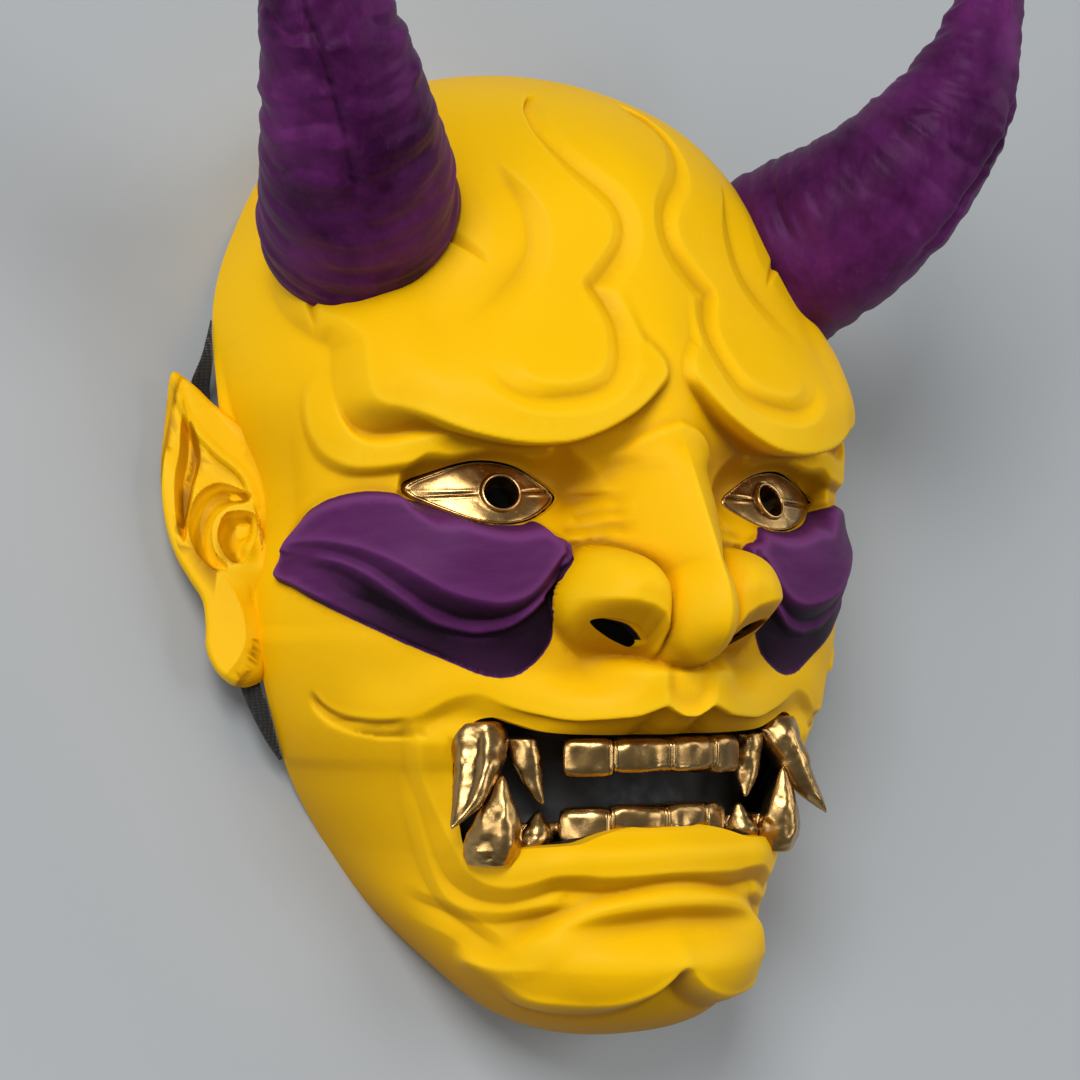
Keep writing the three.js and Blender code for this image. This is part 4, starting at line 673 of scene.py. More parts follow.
def carve(x, a, y, base_z):
    """x is the true side position, a the distance from the midline along the surface."""
    h, dy = forehead(x, a, y)
    h = h + cheek_plate(a, y)
    lift, lead = nose(a, y, base_z, h)
    h, dy = upper_lip(a, y, base_z, h + lift, dy)
    h = chin(a, y, cheek_folds(a, y, mouth_rolls(a, y, h)))
    eye = in_eye(a, y)[0]
    target = eye_surface(a, y) + SOCKET_OVER_EYE
    width = 2.2 + 6.5 * ease(30, 22, a) + 4 * ease(48, 58, a) + np.where(y < 0, 0.6, 0)
    t = ease(0.4, -width, eye)
    h = np.where(eye > -11, mix(np.minimum(target - base_z, h), h, t), h)
    paint = np.minimum(in_cheek(a, y)[0], -0.8 * lead)
    return h, dy, paint


print("eye dome at its middle", round(float(eye_surface(EYE_MIDDLE, 0)), 2), "mm")

# %% [markdown]
# Under the carving lies a plain head: a row of ribs from chin to crown, each an arc
# from the midline to the rim whose corners can be round or nearly square. Ribs, as a
# boat has them, keep the rim exactly on its plane. Their points are spread evenly.

# %% plain head
RIBS = [
    [-121, -40, 8, -120.5, -40, 2.2],
    [-126, -16, 25, -117, -42, 2.4],
    [-121, 4, 37, -108, -44, 2.4],
    [-106, 12, 48, -97, -46, 2.1],
    [-88, 8, 57, -84, -48, 1.9],
    [-70, 6, 67, -67, -48, 1.9],
    [-50, 8, 74, -50, -45, 2.0],
    [-25, 9, 79, -25, -47, 2.2],
    [0, 9, 80, 0, -54, 2.3],
    [25, 9, 81, 25, -61, 2.4],
    [50, 5, 77, 50, -73, 2.3],
    [75, -3, 66, 73, -82, 2.2],
    [95, -22, 54, 90, -87, 2.2],
    [107, -47, 38, 101, -90, 2.1],
    [111, -72, 22, 107, -91, 2.0],
    [110, -91, 10, 109.5, -91, 2.0],
]
COARSE_COLS = 84
COARSE_ROWS = 216


def rim_plane(y):
    return RIM_LEVEL + RIM_SLOPE * y


def rib_table(count):
    dense = spline(RIBS, 16, False)
    mid = np.hypot(np.diff(dense[:, 0]), np.diff(dense[:, 1]))
    rim = np.linalg.norm(np.diff(dense[:, 2:5], axis=0), axis=1)
    along = np.concatenate([[0], np.cumsum(0.6 * mid + 0.4 * rim)])
    want = np.linspace(0, along[-1], count)
    return np.stack([np.interp(want, along, dense[:, k]) for k in range(6)], axis=1)


def plain_head(cols, rows):
    """Points (rows + 1, 2 cols + 1, 3) and the distance of each from the midline."""
    points = np.zeros((rows + 1, 2 * cols + 1, 3))
    away = np.zeros((rows + 1, 2 * cols + 1))
    phi = np.linspace(0, math.pi / 2, 161)
    for j, (my, mz, rx, ry, rz, n) in enumerate(rib_table(rows + 1)):
        rz = max(rz, rim_plane(ry))
        mz = max(mz, rim_plane(my))
        w = 1 - np.clip(np.cos(phi), 0, 1) ** (2 / n)
        curve = np.stack([rx * np.sin(phi) ** (2 / n), mix(my, ry, w), mix(mz, rz, w)], axis=1)
        length = np.concatenate([[0], np.cumsum(np.linalg.norm(np.diff(curve, axis=0), axis=1))])
        want = np.linspace(0, length[-1], cols + 1)
        half = np.stack([np.interp(want, length, curve[:, k]) for k in range(3)], axis=1)
        points[j, cols:] = half
        points[j, :cols] = half[:0:-1] * [-1, 1, 1]
        away[j, cols:] = want
        away[j, :cols] = want[:0:-1]
    return points, away


def grid_normals(grid):
    du = np.zeros_like(grid)
    dv = np.zeros_like(grid)
    du[:, 1:-1] = grid[:, 2:] - grid[:, :-2]
    du[:, 0] = grid[:, 1] - grid[:, 0]
    du[:, -1] = grid[:, -1] - grid[:, -2]
    dv[1:-1] = grid[2:] - grid[:-2]
    dv[0] = grid[1] - grid[0]
    dv[-1] = grid[-1] - grid[-2]
    n = np.cross(du, dv)
    return n / np.maximum(np.linalg.norm(n, axis=2, keepdims=True), 1e-9)


print("head of", len(RIBS), "ribs")

# %% carved head
EDGE_HOLD = 3


def carved_head(cols, rows):
    """The head with its carving, its plain coordinates and the paint line of the cheeks."""
    plain, away = plain_head(cols, rows)
    n = grid_normals(plain)
    front = ease(0.15, 0.75, n[:, :, 2])[:, :, None]
    direction = n * (1 - front) + np.array([0, 0, 1.0]) * front
    direction /= np.linalg.norm(direction, axis=2, keepdims=True)
    i = np.arange(2 * cols + 1)
    j = np.arange(rows + 1)
    edge = np.minimum(np.minimum(i, 2 * cols - i)[None, :] * COARSE_COLS / cols,
                      np.minimum(j, rows - j)[:, None] * COARSE_ROWS / rows)
    hold = ease(0, EDGE_HOLD, edge)
    half = slice(cols, None)
    h = np.zeros(away.shape)
    dy = np.zeros(away.shape)
    paint = np.zeros(away.shape)
    h[:, half], dy[:, half], paint[:, half] = carve(
        plain[:, half, 0], away[:, half], plain[:, half, 1], plain[:, half, 2])
    for whole in (h, dy, paint):
        whole[:, :cols] = whole[:, :cols:-1]
    lifted = plain + direction * (h * hold)[:, :, None]
    lifted[:, :, 1] += dy * hold
    return lifted, away, plain[:, :, 1], paint


def smooth_grid(grid, passes, keep=0.2):
    g = grid.copy()
    for _ in range(passes):
        near = (g[:-2, 1:-1] + g[2:, 1:-1] + g[1:-1, :-2] + g[1:-1, 2:]) / 4
        g[1:-1, 1:-1] = keep * g[1:-1, 1:-1] + (1 - keep) * near
    return g


COLS = 378
ROWS = 756
outer, away, height, cheek_paint = carved_head(COLS, ROWS)
outer = smooth_grid(outer, 2, 0.55)
coarse = carved_head(COARSE_COLS, COARSE_ROWS)[0]
print("outer grid", outer.shape)

# %% [markdown]
# A cast mask is hollow, and its inside follows the face only loosely. Solidify would
# fold over itself in the sharp grooves, so the softened outside is moved in instead,
# and further wherever a deep groove would leave the wall too thin.

# %% inside of the shell
WALL = 5.0
LEAST_WALL = 3.6
LEAST_WALL_AT_RIM = 2.6
RIM_ROWS = 3
DEEPER_STEP = 0.8
DEEPER_STEPS = 13
SEARCH = range(-6, 7, 2)


def inner_skin(outer):
    """Inside of the shell: the softened outside moved in by the wall thickness."""
    soft = smooth_grid(outer, 30)
    n = grid_normals(soft)
    rows, cols = outer.shape[:2]
    i = np.arange(cols)
    j = np.arange(rows)
    edge = np.minimum(np.minimum(i, cols - 1 - i)[None, :], np.minimum(j, rows - 1 - j)[:, None])
    at_rim = edge < RIM_ROWS
    least = np.where(at_rim, LEAST_WALL_AT_RIM, LEAST_WALL)
    depth = np.full((rows, cols), WALL)
    for _ in range(DEEPER_STEPS):
        q = soft - n * depth[:, :, None]
        gap = np.full((rows, cols), 1e9)
        for dj in SEARCH:
            jj = np.clip(j + dj, 0, rows - 1)
            for di in SEARCH:
                ii = np.clip(i + di, 0, cols - 1)
                gap = np.minimum(gap, np.linalg.norm(outer[jj][:, ii] - q, axis=2))
        depth = np.where(gap < least, depth + DEEPER_STEP, depth)
    q[:, :, 2] = np.maximum(q[:, :, 2], rim_plane(q[:, :, 1]) + np.where(at_rim, 0.5 + edge, 1.5))
    side = np.stack([n[:, :, 0], n[:, :, 1] - RIM_SLOPE * n[:, :, 2], np.zeros((rows, cols))], axis=2)
    side /= np.maximum(np.linalg.norm(side, axis=2, keepdims=True), 1e-9)
    rim = outer - side * WALL
    rim[:, :, 2] = outer[:, :, 2] + RIM_SLOPE * (rim[:, :, 1] - outer[:, :, 1])
    q = np.where((edge == 0)[:, :, None], rim, q)
    return smooth_grid(q, 10)


inner = inner_skin(smooth_grid(coarse, 1, 0.5))
print("inner grid", inner.shape)

# %% [markdown]
# Painted shade goes into the paint: darker in the hollows, on faces turned downwards and
# under the lower fold of each cheek plate, with a painted highlight on the crests. An ambient
# occlusion node would need Cycles, so the painted shade is worked out here: how far each point
# lies under a softened copy of the surface, and how far it faces down.

# %% painted shade of the paint
DETAIL_FULL = 0.26
BROAD_FULL = 2.4


def hollow_map(grid, normals, passes, step, full):
    """How far the surface lies under its own softened copy, 1 at the depth full."""
    some = grid[::step, ::step]
    below = np.sum((smooth_grid(some, passes) - some) * normals[::step, ::step], axis=2) / full
    j = np.linspace(0, below.shape[0] - 1, grid.shape[0])
    i = np.linspace(0, below.shape[1] - 1, grid.shape[1])
    j0 = np.minimum(j.astype(int), below.shape[0] - 2)
    i0 = np.minimum(i.astype(int), below.shape[1] - 2)
    fj = (j - j0)[:, None]
    fi = (i - i0)[None, :]
    top = mix(below[j0][:, i0], below[j0][:, i0 + 1], fi)
    low = mix(below[j0 + 1][:, i0], below[j0 + 1][:, i0 + 1], fi)
    return mix(top, low, fj)


outer_normals = grid_normals(outer)
# How deep each point lies in a hollow, near and broad: painted shade in the hollows.
detail = hollow_map(outer, outer_normals, 24, 1, DETAIL_FULL)
broad = hollow_map(outer, outer_normals, 45, 6, BROAD_FULL)
# Painted shade on faces turned downwards, away from the light above.
downward = ease(0.02, -0.8, outer_normals[:, :, 1])
painted_shade = np.clip(0.26 * np.maximum(detail, 0) + 0.22 * np.maximum(broad, 0) + 0.85 * downward, 0, 1)
# Crests that stand over the softened surface go negative, which gives a painted highlight.
painted_shade = painted_shade - 0.4 * np.clip(-detail - 0.2, 0, 1)
# Painted shadow under the lower fold of each purple cheek plate.
fold_line = on_cheek_lower(away, height)
under_fold = (fold_line[2] > 0) & (cheek_paint > 0)
shadow = 0.75 * ease(-0.5, 3, fold_line[0]) * ease(88, 62, away)
painted_shade = painted_shade + np.where(under_fold, shadow, 0)
print("tone from", round(float(painted_shade.min()), 2), "to", round(float(painted_shade.max()), 2))

# %% [markdown]
# Meshes are made from point and face arrays, turned to the row frame.
# One helper makes the object, merges doubles and points the faces outwards.

# %% mesh helpers


def select(obj):
    bpy.ops.object.select_all(action="DESELECT")
    obj.select_set(True)
    bpy.context.view_layer.objects.active = obj


def merge_and_turn_out(obj, distance):
    """Closes the seams and points all faces outwards."""
    select(obj)
    bpy.ops.object.mode_set(mode="EDIT")
    bpy.ops.mesh.select_all(action="SELECT")
    bpy.ops.mesh.remove_doubles(threshold=distance)
    bpy.ops.mesh.normals_make_consistent(inside=False)
    bpy.ops.object.mode_set(mode="OBJECT")


def stand_for(obj, node):
    """The piece rides on the mask's one body and replaces the node."""
    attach(obj, "root")
    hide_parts(node)


def new_tool(name, points, faces):
    """A mesh object that no node knows of, such as a cutter."""
    mesh = bpy.data.meshes.new(name)
    mesh.from_pydata(to_row(points).tolist(), [], faces)
    mesh.validate()
    obj = bpy.data.objects.new(name, mesh)
    bpy.context.scene.collection.objects.link(obj)
    merge_and_turn_out(obj, 1e-6)
    return obj


def new_piece(name, points, faces, node):
    obj = new_tool(name, points, faces)
    stand_for(obj, node)
    bpy.ops.object.shade_smooth()
    return obj


def apply_modifier(obj, kind, **settings):
    select(obj)
    mod = obj.modifiers.new(kind.lower(), kind)
    for key, value in settings.items():
        setattr(mod, key, value)
    bpy.ops.object.modifier_apply(modifier=mod.name)


def cut(obj, tool, operation):
    apply_modifier(obj, "BOOLEAN", object=tool, operation=operation, solver="MANIFOLD")
    bpy.data.objects.remove(tool)


def sharpen(obj, degrees):
    """Keeps true corners crisp under smooth shading."""
    select(obj)
    bpy.ops.object.mode_set(mode="EDIT")
    bpy.ops.mesh.select_mode(type="EDGE")
    bpy.ops.mesh.select_all(action="DESELECT")
    bpy.ops.mesh.edges_select_sharp(sharpness=math.radians(degrees))
    bpy.ops.mesh.mark_sharp()
    bpy.ops.mesh.select_all(action="DESELECT")
    bpy.ops.object.mode_set(mode="OBJECT")


def tri_count(obj):
    return sum(len(p.vertices) - 2 for p in obj.data.polygons)


SIDES = (("left", 1), ("right", -1))
print("mesh helpers ready for the", " and ".join(label for label, _ in SIDES), "pieces")

# %% [markdown]
# The shell is one closed skin: the fine outside, the plainer inside and a rim strip
# that fans from the fine edge to the plain one.

# %% closed shell skin


def grid_loop(rows, cols, start):
    """Point numbers round the edge of a grid, from its first corner."""
    out = [(0, k) for k in range(cols - 1)] + [(k, cols - 1) for k in range(rows - 1)]
    out += [(rows - 1, k) for k in range(cols - 1, 0, -1)] + [(k, 0) for k in range(rows - 1, 0, -1)]
    return [start + j * cols + i for j, i in out]


def closed_skin(front, back):
    """Joins two grids; the front has a whole number of cells to each cell of the back."""
    rows, cols = front.shape[:2]
    back_rows, back_cols = back.shape[:2]
    points = np.concatenate([front.reshape(-1, 3), back.reshape(-1, 3)])
    start = rows * cols
    j, i = np.mgrid[0:rows - 1, 0:cols - 1]
    a = (j * cols + i).ravel()
    faces = np.stack([a, a + 1, a + cols + 1, a + cols], axis=1).tolist()
    j, i = np.mgrid[0:back_rows - 1, 0:back_cols - 1]
    b = (start + j * back_cols + i).ravel()
    faces += np.stack([b, b + back_cols, b + back_cols + 1, b + 1], axis=1).tolist()
    fine = grid_loop(rows, cols, 0)
    plain = grid_loop(back_rows, back_cols, start)
    f = p = 0
    for many, few in 2 * [(cols - 1, back_cols - 1), (rows - 1, back_rows - 1)]:
        step = many // few
        half = step // 2
        for _ in range(few):
            c0 = plain[p % len(plain)]
            c1 = plain[(p + 1) % len(plain)]
            for k in range(step):
                q0 = fine[(f + k) % len(fine)]
                q1 = fine[(f + k + 1) % len(fine)]
                faces.append((q1, q0, c0 if k < half else c1))
            faces.append((fine[(f + half) % len(fine)], c0, c1))
            f += step
            p += 1
    return points, faces


shell_points, shell_faces = closed_skin(outer, inner[::4, ::4])
print("shell skin", len(shell_points), "points", len(shell_faces), "faces")

# %% [markdown]
# The ears are flat leaves carved on their faces: a crest from the tip to the cheek with
# a sloped band outside it, a slot along the outer edge, a bowl with a pit in it, and a
# lobe with a flat front. Each stands turned out from the head, so it is drawn in its
# own plane, p outwards and q upwards, and only its points are placed in the face frame.

# %% ear lines
EAR_ORIGIN = np.array([77, 0, -50.0])
EAR_OUT = np.array([0.87, 0, -0.49])
EAR_UP = np.array([0, 0.976, -0.217])
EAR_FACE = np.array([0.478, 0.189, 0.849])
EAR_OUTLINE = [
    [16.3, 30.4], [19.2, 18], [20.9, 4], [20.5, -7], [18.6, -14.5], [15.9, -20], [13.4, -25], [13.1, -31],
    [13.4, -36.5], [11.6, -41.5], [8.2, -44.6], [4, -44.4], [0.2, -41.3], [-1.6, -34.2], [-4, -26],
    [-8, -16], [-10, -4], [-9, 8], [-3, 15], [6, 22.6], [11.4, 28],
]
EAR_CREST = [
    [16.1, 30.2], [15.2, 24.9], [13.7, 19.5], [10.5, 14.2], [6.9, 10.1], [3.3, 6.9], [0.8, 3.6], [-0.6, -2],
]
EAR_SLOT = [
    [14.2, 19.4], [15.7, 10.4], [17.2, 3.1], [17.5, -5.8], [16.2, -11.2], [14.9, -5.8], [12.7, 3.1],
    [11.2, 11.4],
]
EAR_BOWL = [
    [0, 0.2], [4.2, 2.5], [7.8, 3], [11.7, 0.4], [14.2, -4.2], [14.8, -9], [13.4, -13.9], [10, -17.6],
    [6.6, -17.6], [9.2, -13.9], [9.7, -9], [8.2, -5], [5.3, -2.7], [0.6, -1.6],
]
EAR_PIT = [
    [-0.4, -4.6], [5.2, -4.2], [7.6, -7.2], [8.1, -11.2], [6.2, -15.2], [3.2, -16.4], [1.2, -14.6], [-1, -9],
]
EAR_LOBE = [
    [12.4, -17], [8.9, -18.9], [5.7, -22.9], [3.9, -28.4], [3.7, -34], [5.5, -38.7], [8.6, -42.4],
    [13, -46.5],
]
in_ear = Line(EAR_OUTLINE, True)
on_ear_crest = Line(EAR_CREST, False)
in_ear_slot = Line(EAR_SLOT, True)
in_ear_bowl = Line(EAR_BOWL, True)
in_ear_pit = Line(EAR_PIT, True)
on_ear_lobe = Line(EAR_LOBE, False)
print("ear outline of", len(in_ear.line), "points")

# %% ears
EAR_THICKNESS = 3.2
EDGE_ROUND = 1.5
SLOT_DEPTH = 4.8
BOWL_DEPTH = 3.4
PIT_DEPTH = 4.2
PEARL_HEIGHT = 2.6
EAR_BACK = -4.2
EAR_BACK_MIDDLE = -4.6
EAR_CENTRE = np.array([7.0, -6.0])


def ear_height(p, q):
    """Height of the ear's face: flat, with a sloped band over a crest, two hollows and a lobe."""
    edge = np.clip(in_ear(p, q)[0] / EDGE_ROUND, 0, 1)
    h = EAR_THICKNESS * np.sqrt(edge * (2 - edge))
    crest = on_ear_crest(p, q)
    band = 0.3 * np.minimum(crest[0], 7) * ease(0, 0.2, crest[1])
    floor = 1.7 * ramp(0, 1.1, crest[0]) * ease(12, 4, crest[0])
    floor = floor * ease(0, 0.15, crest[1]) * ease(1, 0.9, crest[1])
    h = h + 0.5 * ease(2.4, 0, crest[0]) - np.where(crest[2] < 0, band, floor)
    h = h - SLOT_DEPTH * ramp(-0.2, 1.3, in_ear_slot(p, q)[0])
    h = h - BOWL_DEPTH * np.sqrt(ramp(-0.1, 2.2, in_ear_bowl(p, q)[0]))
    h = h - PIT_DEPTH * np.sqrt(ramp(-0.1, 2.8, in_ear_pit(p, q)[0]))
    h = h + PEARL_HEIGHT * bump(np.hypot(p - 1.6, (q + 12.4) * 0.8) / 2.3)
    lobe = on_ear_lobe(p, q)
    wall = np.where(lobe[2] < 0, 0.85 * np.minimum(lobe[0], 6), 0) * ease(-17, -27, q)
    return h - wall


def ear_painted_shade(p, q):
    """Painted shade where the ear lies under its own surroundings, near and wide, and painted highlight on
    its crests.
    """
    h = ear_height(p, q)

    def around(r):
        return sum(ear_height(p + r * math.cos(k), q + r * math.sin(k)) for k in range(6)) / 6 - h

    return np.clip(around(1.2) / 1.1 - 0.08, -0.4, 0.5) + np.clip(around(3.2) / 3, 0, 0.5)


def ear_body(rings, per_span):
    """A closed leaf: rings of points on the carved face, and a flat back."""
    line = spline(EAR_OUTLINE, per_span, True)[::-1]
    n = len(line)
    flat = np.concatenate([EAR_CENTRE + (line - EAR_CENTRE) * (j / rings) for j in range(1, rings + 1)]
                          + [[EAR_CENTRE]])
    h = ear_height(flat[:, 0], flat[:, 1])
    back_ring = EAR_CENTRE + (line - EAR_CENTRE) * 0.965
    flat = np.concatenate([flat, back_ring, [EAR_CENTRE]])
    h = np.concatenate([h, np.full(n, EAR_BACK), [EAR_BACK_MIDDLE]])
    points = EAR_ORIGIN + flat[:, :1] * EAR_OUT + flat[:, 1:2] * EAR_UP + h[:, None] * EAR_FACE
    front = rings * n
    ring_of = [j * n for j in range(rings)] + [front + 1]
    back = front + 1 + n
    faces = []
    for i in range(n):
        k = (i + 1) % n
        faces.append((front, i, k))
        for a, b in zip(ring_of[:-1], ring_of[1:]):
            faces.append((a + i, b + i, b + k, a + k))
        faces.append((back, ring_of[-1] + k, ring_of[-1] + i))
    return points, faces


ear_points, ear_faces = ear_body(72, 12)
print("ear", len(ear_points), "points")

# %% [markdown]
# The ears were cast with the face, so they are joined to the shell, and the eye holes,
# nostrils and mouth are cut through it with straight prisms. The mesh is then thinned
# where it is flat, which keeps the grooves and spends no triangles on the forehead.

# %% cut and join the shell
SHELL_TRIANGLES = 190000


def prism(outline, z0, z1):
    line = spline(outline, 6, True)
    n = len(line)
    points = np.concatenate([np.column_stack([line, np.full(n, z)]) for z in (z0, z1)])
    faces = [tuple(range(n))[::-1], tuple(range(n, 2 * n))]
    faces += [(i, (i + 1) % n, n + (i + 1) % n, n + i) for i in range(n)]
    return points, faces


shell = new_piece("shell", shell_points, shell_faces, "mask_shell")
for label, side in SIDES:
    cut(shell, new_tool("ear_" + label, ear_points * [side, 1, 1], ear_faces), "UNION")
    for part, outline, z0, z1 in (("eye_hole", EYE_OUTLINE, -40, 30), ("nostril", NOSTRIL_OUTLINE, -10, 60)):
        points, faces = prism(outline, z0, z1)
        cut(shell, new_tool(part + label, points * [side, 1, 1], faces), "DIFFERENCE")
mouth = MOUTH_OUTLINE[1:-1]
points, faces = prism(mouth + [[-x, y] for x, y in reversed(mouth)], -60, 60)
cut(shell, new_tool("mouth_hole", points, faces), "DIFFERENCE")
print("shell after cuts", tri_count(shell))
apply_modifier(shell, "DECIMATE", ratio=SHELL_TRIANGLES / tri_count(shell))
print("shell", tri_count(shell), "triangles")

# %% [markdown]
# The paint needs to know where it is. Three numbers are stored on the shell's points:
# the distance from the edge of the cheek plates in millimetres, the painted shade, and whether
# the point is on the inside. Joining and thinning lose the grid's numbers, so each is
# looked up again from the nearest points of the grid.

# %% paint attributes on the shell
OFF_THE_CHEEK = -9
ON_THE_GRID = 0.0012
ON_THE_FACE = 0.0006


def store(obj, name, values):
    layer = obj.data.attributes.new(name, "FLOAT", "POINT")
    layer.data.foreach_set("value", np.asarray(values, dtype=np.float32))


def point_tree(points):
    tree = KDTree(len(points))
    for n, p in enumerate(points):
        tree.insert(p, n)
    tree.balance()
    return tree


def mark_shell():
    fields = np.stack([cheek_paint.ravel(), painted_shade.ravel()], axis=1)
    tree = point_tree(to_row(outer.reshape(-1, 3)))
    values = np.zeros((len(shell.data.vertices), 2))
    values[:, 0] = OFF_THE_CHEEK
    apart = np.ones(len(values))
    for v in shell.data.vertices:
        found = tree.find_n(v.co, 3)
        if found[0][2] < ON_THE_GRID:
            w = np.array([1 / (f[2] + 1e-6) for f in found])
            values[v.index] = w @ fields[[f[1] for f in found]] / w.sum()
            apart[v.index] = found[0][2]
    co = np.zeros(len(values) * 3)
    shell.data.vertices.foreach_get("co", co)
    face = to_face(co.reshape(-1, 3))
    face[:, 0] = np.abs(face[:, 0])
    p = (face - EAR_ORIGIN) @ EAR_OUT
    q = (face - EAR_ORIGIN) @ EAR_UP
    # Points of the ears, off the head's grid, take the ear's own painted shade and highlight.
    values[:, 1] = np.where(apart > ON_THE_FACE, ear_painted_shade(p, q), values[:, 1])
    store(shell, "cheek", values[:, 0])
    store(shell, "painted_shade", values[:, 1])
    return values[:, 0]


def mark_inside():
    """A point is inside where it is much closer to the inner skin than to the outer one."""
    to_inner = point_tree(to_row(inner[::2, ::2].reshape(-1, 3)))
    to_outer = point_tree(to_row(coarse[::2, ::2].reshape(-1, 3)))
    within = [float(to_inner.find(v.co)[2] < to_outer.find(v.co)[2] * 0.5) for v in shell.data.vertices]
    store(shell, "inside", within)
    return within


cheek_values = mark_shell()
print("cheek points", int((cheek_values > 0).sum()), "inside points", int(sum(mark_inside())))
sharpen(shell, 75)

# %% [markdown]
# The two horns are cast pieces with growth ridges. Each starts as a flat grid that is
# rolled round the horn's curved centre line, so one edge closes on the other,
# and the ridges are then pushed in and out of it by a few waves and some noise.
# A displacement texture could do that too, but it would not know where the horn turns.

# %% noise and rolled sheets
HASH_X = 374761393
HASH_Y = 668265263
HASH_Z = 1103515245
HASH_SEED = 974634777
HASH_MIX = 1274126177


def rough(points, size, seed):
    """Smooth random value from -1 to 1 at each point, with lumps about this size."""
    q = np.asarray(points, dtype=float) / size
    cell = np.floor(q).astype(np.int64)
    f = q - cell
    f = f * f * (3 - 2 * f)
    total = np.zeros(len(q))
    for corner in range(8):
        o = np.array([corner & 1, corner >> 1 & 1, corner >> 2 & 1])
        c = cell + o
        n = c[:, 0] * HASH_X + c[:, 1] * HASH_Y + c[:, 2] * HASH_Z + seed * HASH_SEED
        n = (n ^ (n >> 13)) * HASH_MIX
        value = ((n ^ (n >> 16)) & 65535) / 32767.5 - 1
        total += np.prod(np.where(o == 1, f, 1 - f), axis=1) * value
    return total


def wrapped(angle):
    """The same angle, between minus half a turn and half a turn."""
    return np.angle(np.exp(1j * angle))


def rolled(name, around, along, place):
    """A grid of around by along cells, moved to place(u, v), with its seam closed."""
    bpy.ops.object.select_all(action="DESELECT")
    bpy.ops.mesh.primitive_grid_add(x_subdivisions=around, y_subdivisions=along, size=1)
    obj = bpy.context.active_object
    obj.name = name
    obj.data.name = name
    flat = np.zeros(len(obj.data.vertices) * 3)
    obj.data.vertices.foreach_get("co", flat)
    flat = flat.reshape(-1, 3)
    u, v = (np.round(flat[:, k] + 0.5, 6) for k in (0, 1))
    obj.data.vertices.foreach_set("co", to_row(place(u, v)).ravel())
    obj.data.update()
    merge_and_turn_out(obj, 2e-6)
    bpy.ops.object.shade_smooth()
    return obj


print("noise at the origin", round(float(rough([[0, 0, 0]], 1.0, 3)[0]), 3))

# %% horns
HORN_PATH = [
    [52, 57, -40], [60.6, 64.7, -25.7], [70, 74, -9], [78.6, 86, 3], [86, 100, 10],
    [93, 120, 13], [97, 140, 13], [98.7, 160.3, 11.2],
]
HORN_RADIUS = [23.4, 23.4, 21.4, 18.4, 14.8, 9.6, 5.4, 1.2]
SPAN_STEPS = 12
HORN_START = 0.7
RIDGES = 12.5
RIDGE_HEIGHT = 0.95
HORN_CREASE_DEPTH = 1.1
horn_line = spline([p + [r] for p, r in zip(HORN_PATH, HORN_RADIUS)], SPAN_STEPS, False)


def on_horn_line(index):
    """Centre and radius at a place along the horn, in steps of its line."""
    k = np.arange(len(horn_line))
    centre = np.stack([np.interp(index, k, horn_line[:, m]) for m in range(3)], axis=1)
    return centre, np.interp(index, k, horn_line[:, 3])


def horn_lumps(w, s, base, side):
    """Height of ridges, lumps and crease at the angle w and the share s along the horn."""
    ring = np.column_stack([1.1 * np.cos(w), 1.1 * np.sin(w), s * 0])
    up = np.column_stack([s * 0, s * 0, s])
    wander = 0.4 * np.sin(w + 1.0 + side) + 0.25 * np.sin(2 * w + 4 * s + side)
    wander = wander + 0.9 * rough(ring * 1.6 + up * 7, 1.0, 3 + side)
    turns = RIDGES * s ** 0.88 + wander * 0.6
    part = turns - np.floor(turns)
    ridge = np.minimum(part / 0.74, (1 - part) / 0.26) ** 0.8
    fade = ease(1.0, 0.5, s) * 0.8 + 0.2
    lump = RIDGE_HEIGHT * (ridge - 0.6) * fade * (0.6 + 0.4 * rough(base, 19, 5))
    lump = lump + 0.5 * fade * rough(ring + up * 34, 1.0, 11)
    lump = lump + 0.24 * rough(ring * 1.8 + up * 80, 1.0, 17)
    lump = lump + 0.05 * rough(base * [1, 1, 0.6], 2.2, 8)
    crease = bump(wrapped(w + 1.55 + 0.6 * s) / 0.085)
    return lump - HORN_CREASE_DEPTH * (crease * ease(0.2, 0.32, s) * ease(0.95, 0.7, s))


def horn_place(side):
    def place(u, v):
        s = np.clip(v, 0, 1)
        index = mix(HORN_START * SPAN_STEPS, len(horn_line) - 1, s)
        c, r = on_horn_line(index)
        t = unit(on_horn_line(index + 1.5)[0] - on_horn_line(index - 1.5)[0])
        across = unit(np.cross([0, 1, 0], t))
        out = np.cross(t, across)
        w = 2 * math.pi * u
        spoke = across * np.cos(w)[:, None] + out * np.sin(w)[:, None]
        lump = horn_lumps(w, s, c + r[:, None] * spoke, side)
        tip = np.where(s >= 1, 0, 0.35 + 0.65 * ease(1.0, 0.97, s))
        p = c + ((r + lump * np.minimum(1, r / 6)) * tip)[:, None] * spoke
        return np.where((v <= 0)[:, None], c, p) * [side, 1, 1]
    return place


horns = []
for label, side in SIDES:
    horn = rolled("horn_" + label + "_cast", 176, 300, horn_place(side))
    stand_for(horn, "horn_" + label)
    horns.append(horn)
    print(horn.name, tri_count(horn), "triangles")

# %% [markdown]
# The eyes are gilt inserts. Each is one closed ring of metal: from the pupil hole up
# over its raised rim, out across the almond dome to the edge, and back round behind.
# A rolled grid gives that ring in one piece, with no cap and no pole to hide.

# %% eye outline
PUPIL_HALF_SPACING = 37.0
PUPIL_RADIUS = 3.9
DOME_START = 4.85
EYE_GAP = 0.35
EYE_NORMAL = np.array([0.255, 0.35, 0.9])
EYE_NORMAL = EYE_NORMAL / np.linalg.norm(EYE_NORMAL)
pupil_centre = np.array([PUPIL_HALF_SPACING, 0.0, float(eye_surface(PUPIL_HALF_SPACING, 0.0))])
eye_across = unit(np.cross([0, 1, 0], EYE_NORMAL))
eye_up = np.cross(EYE_NORMAL, eye_across)


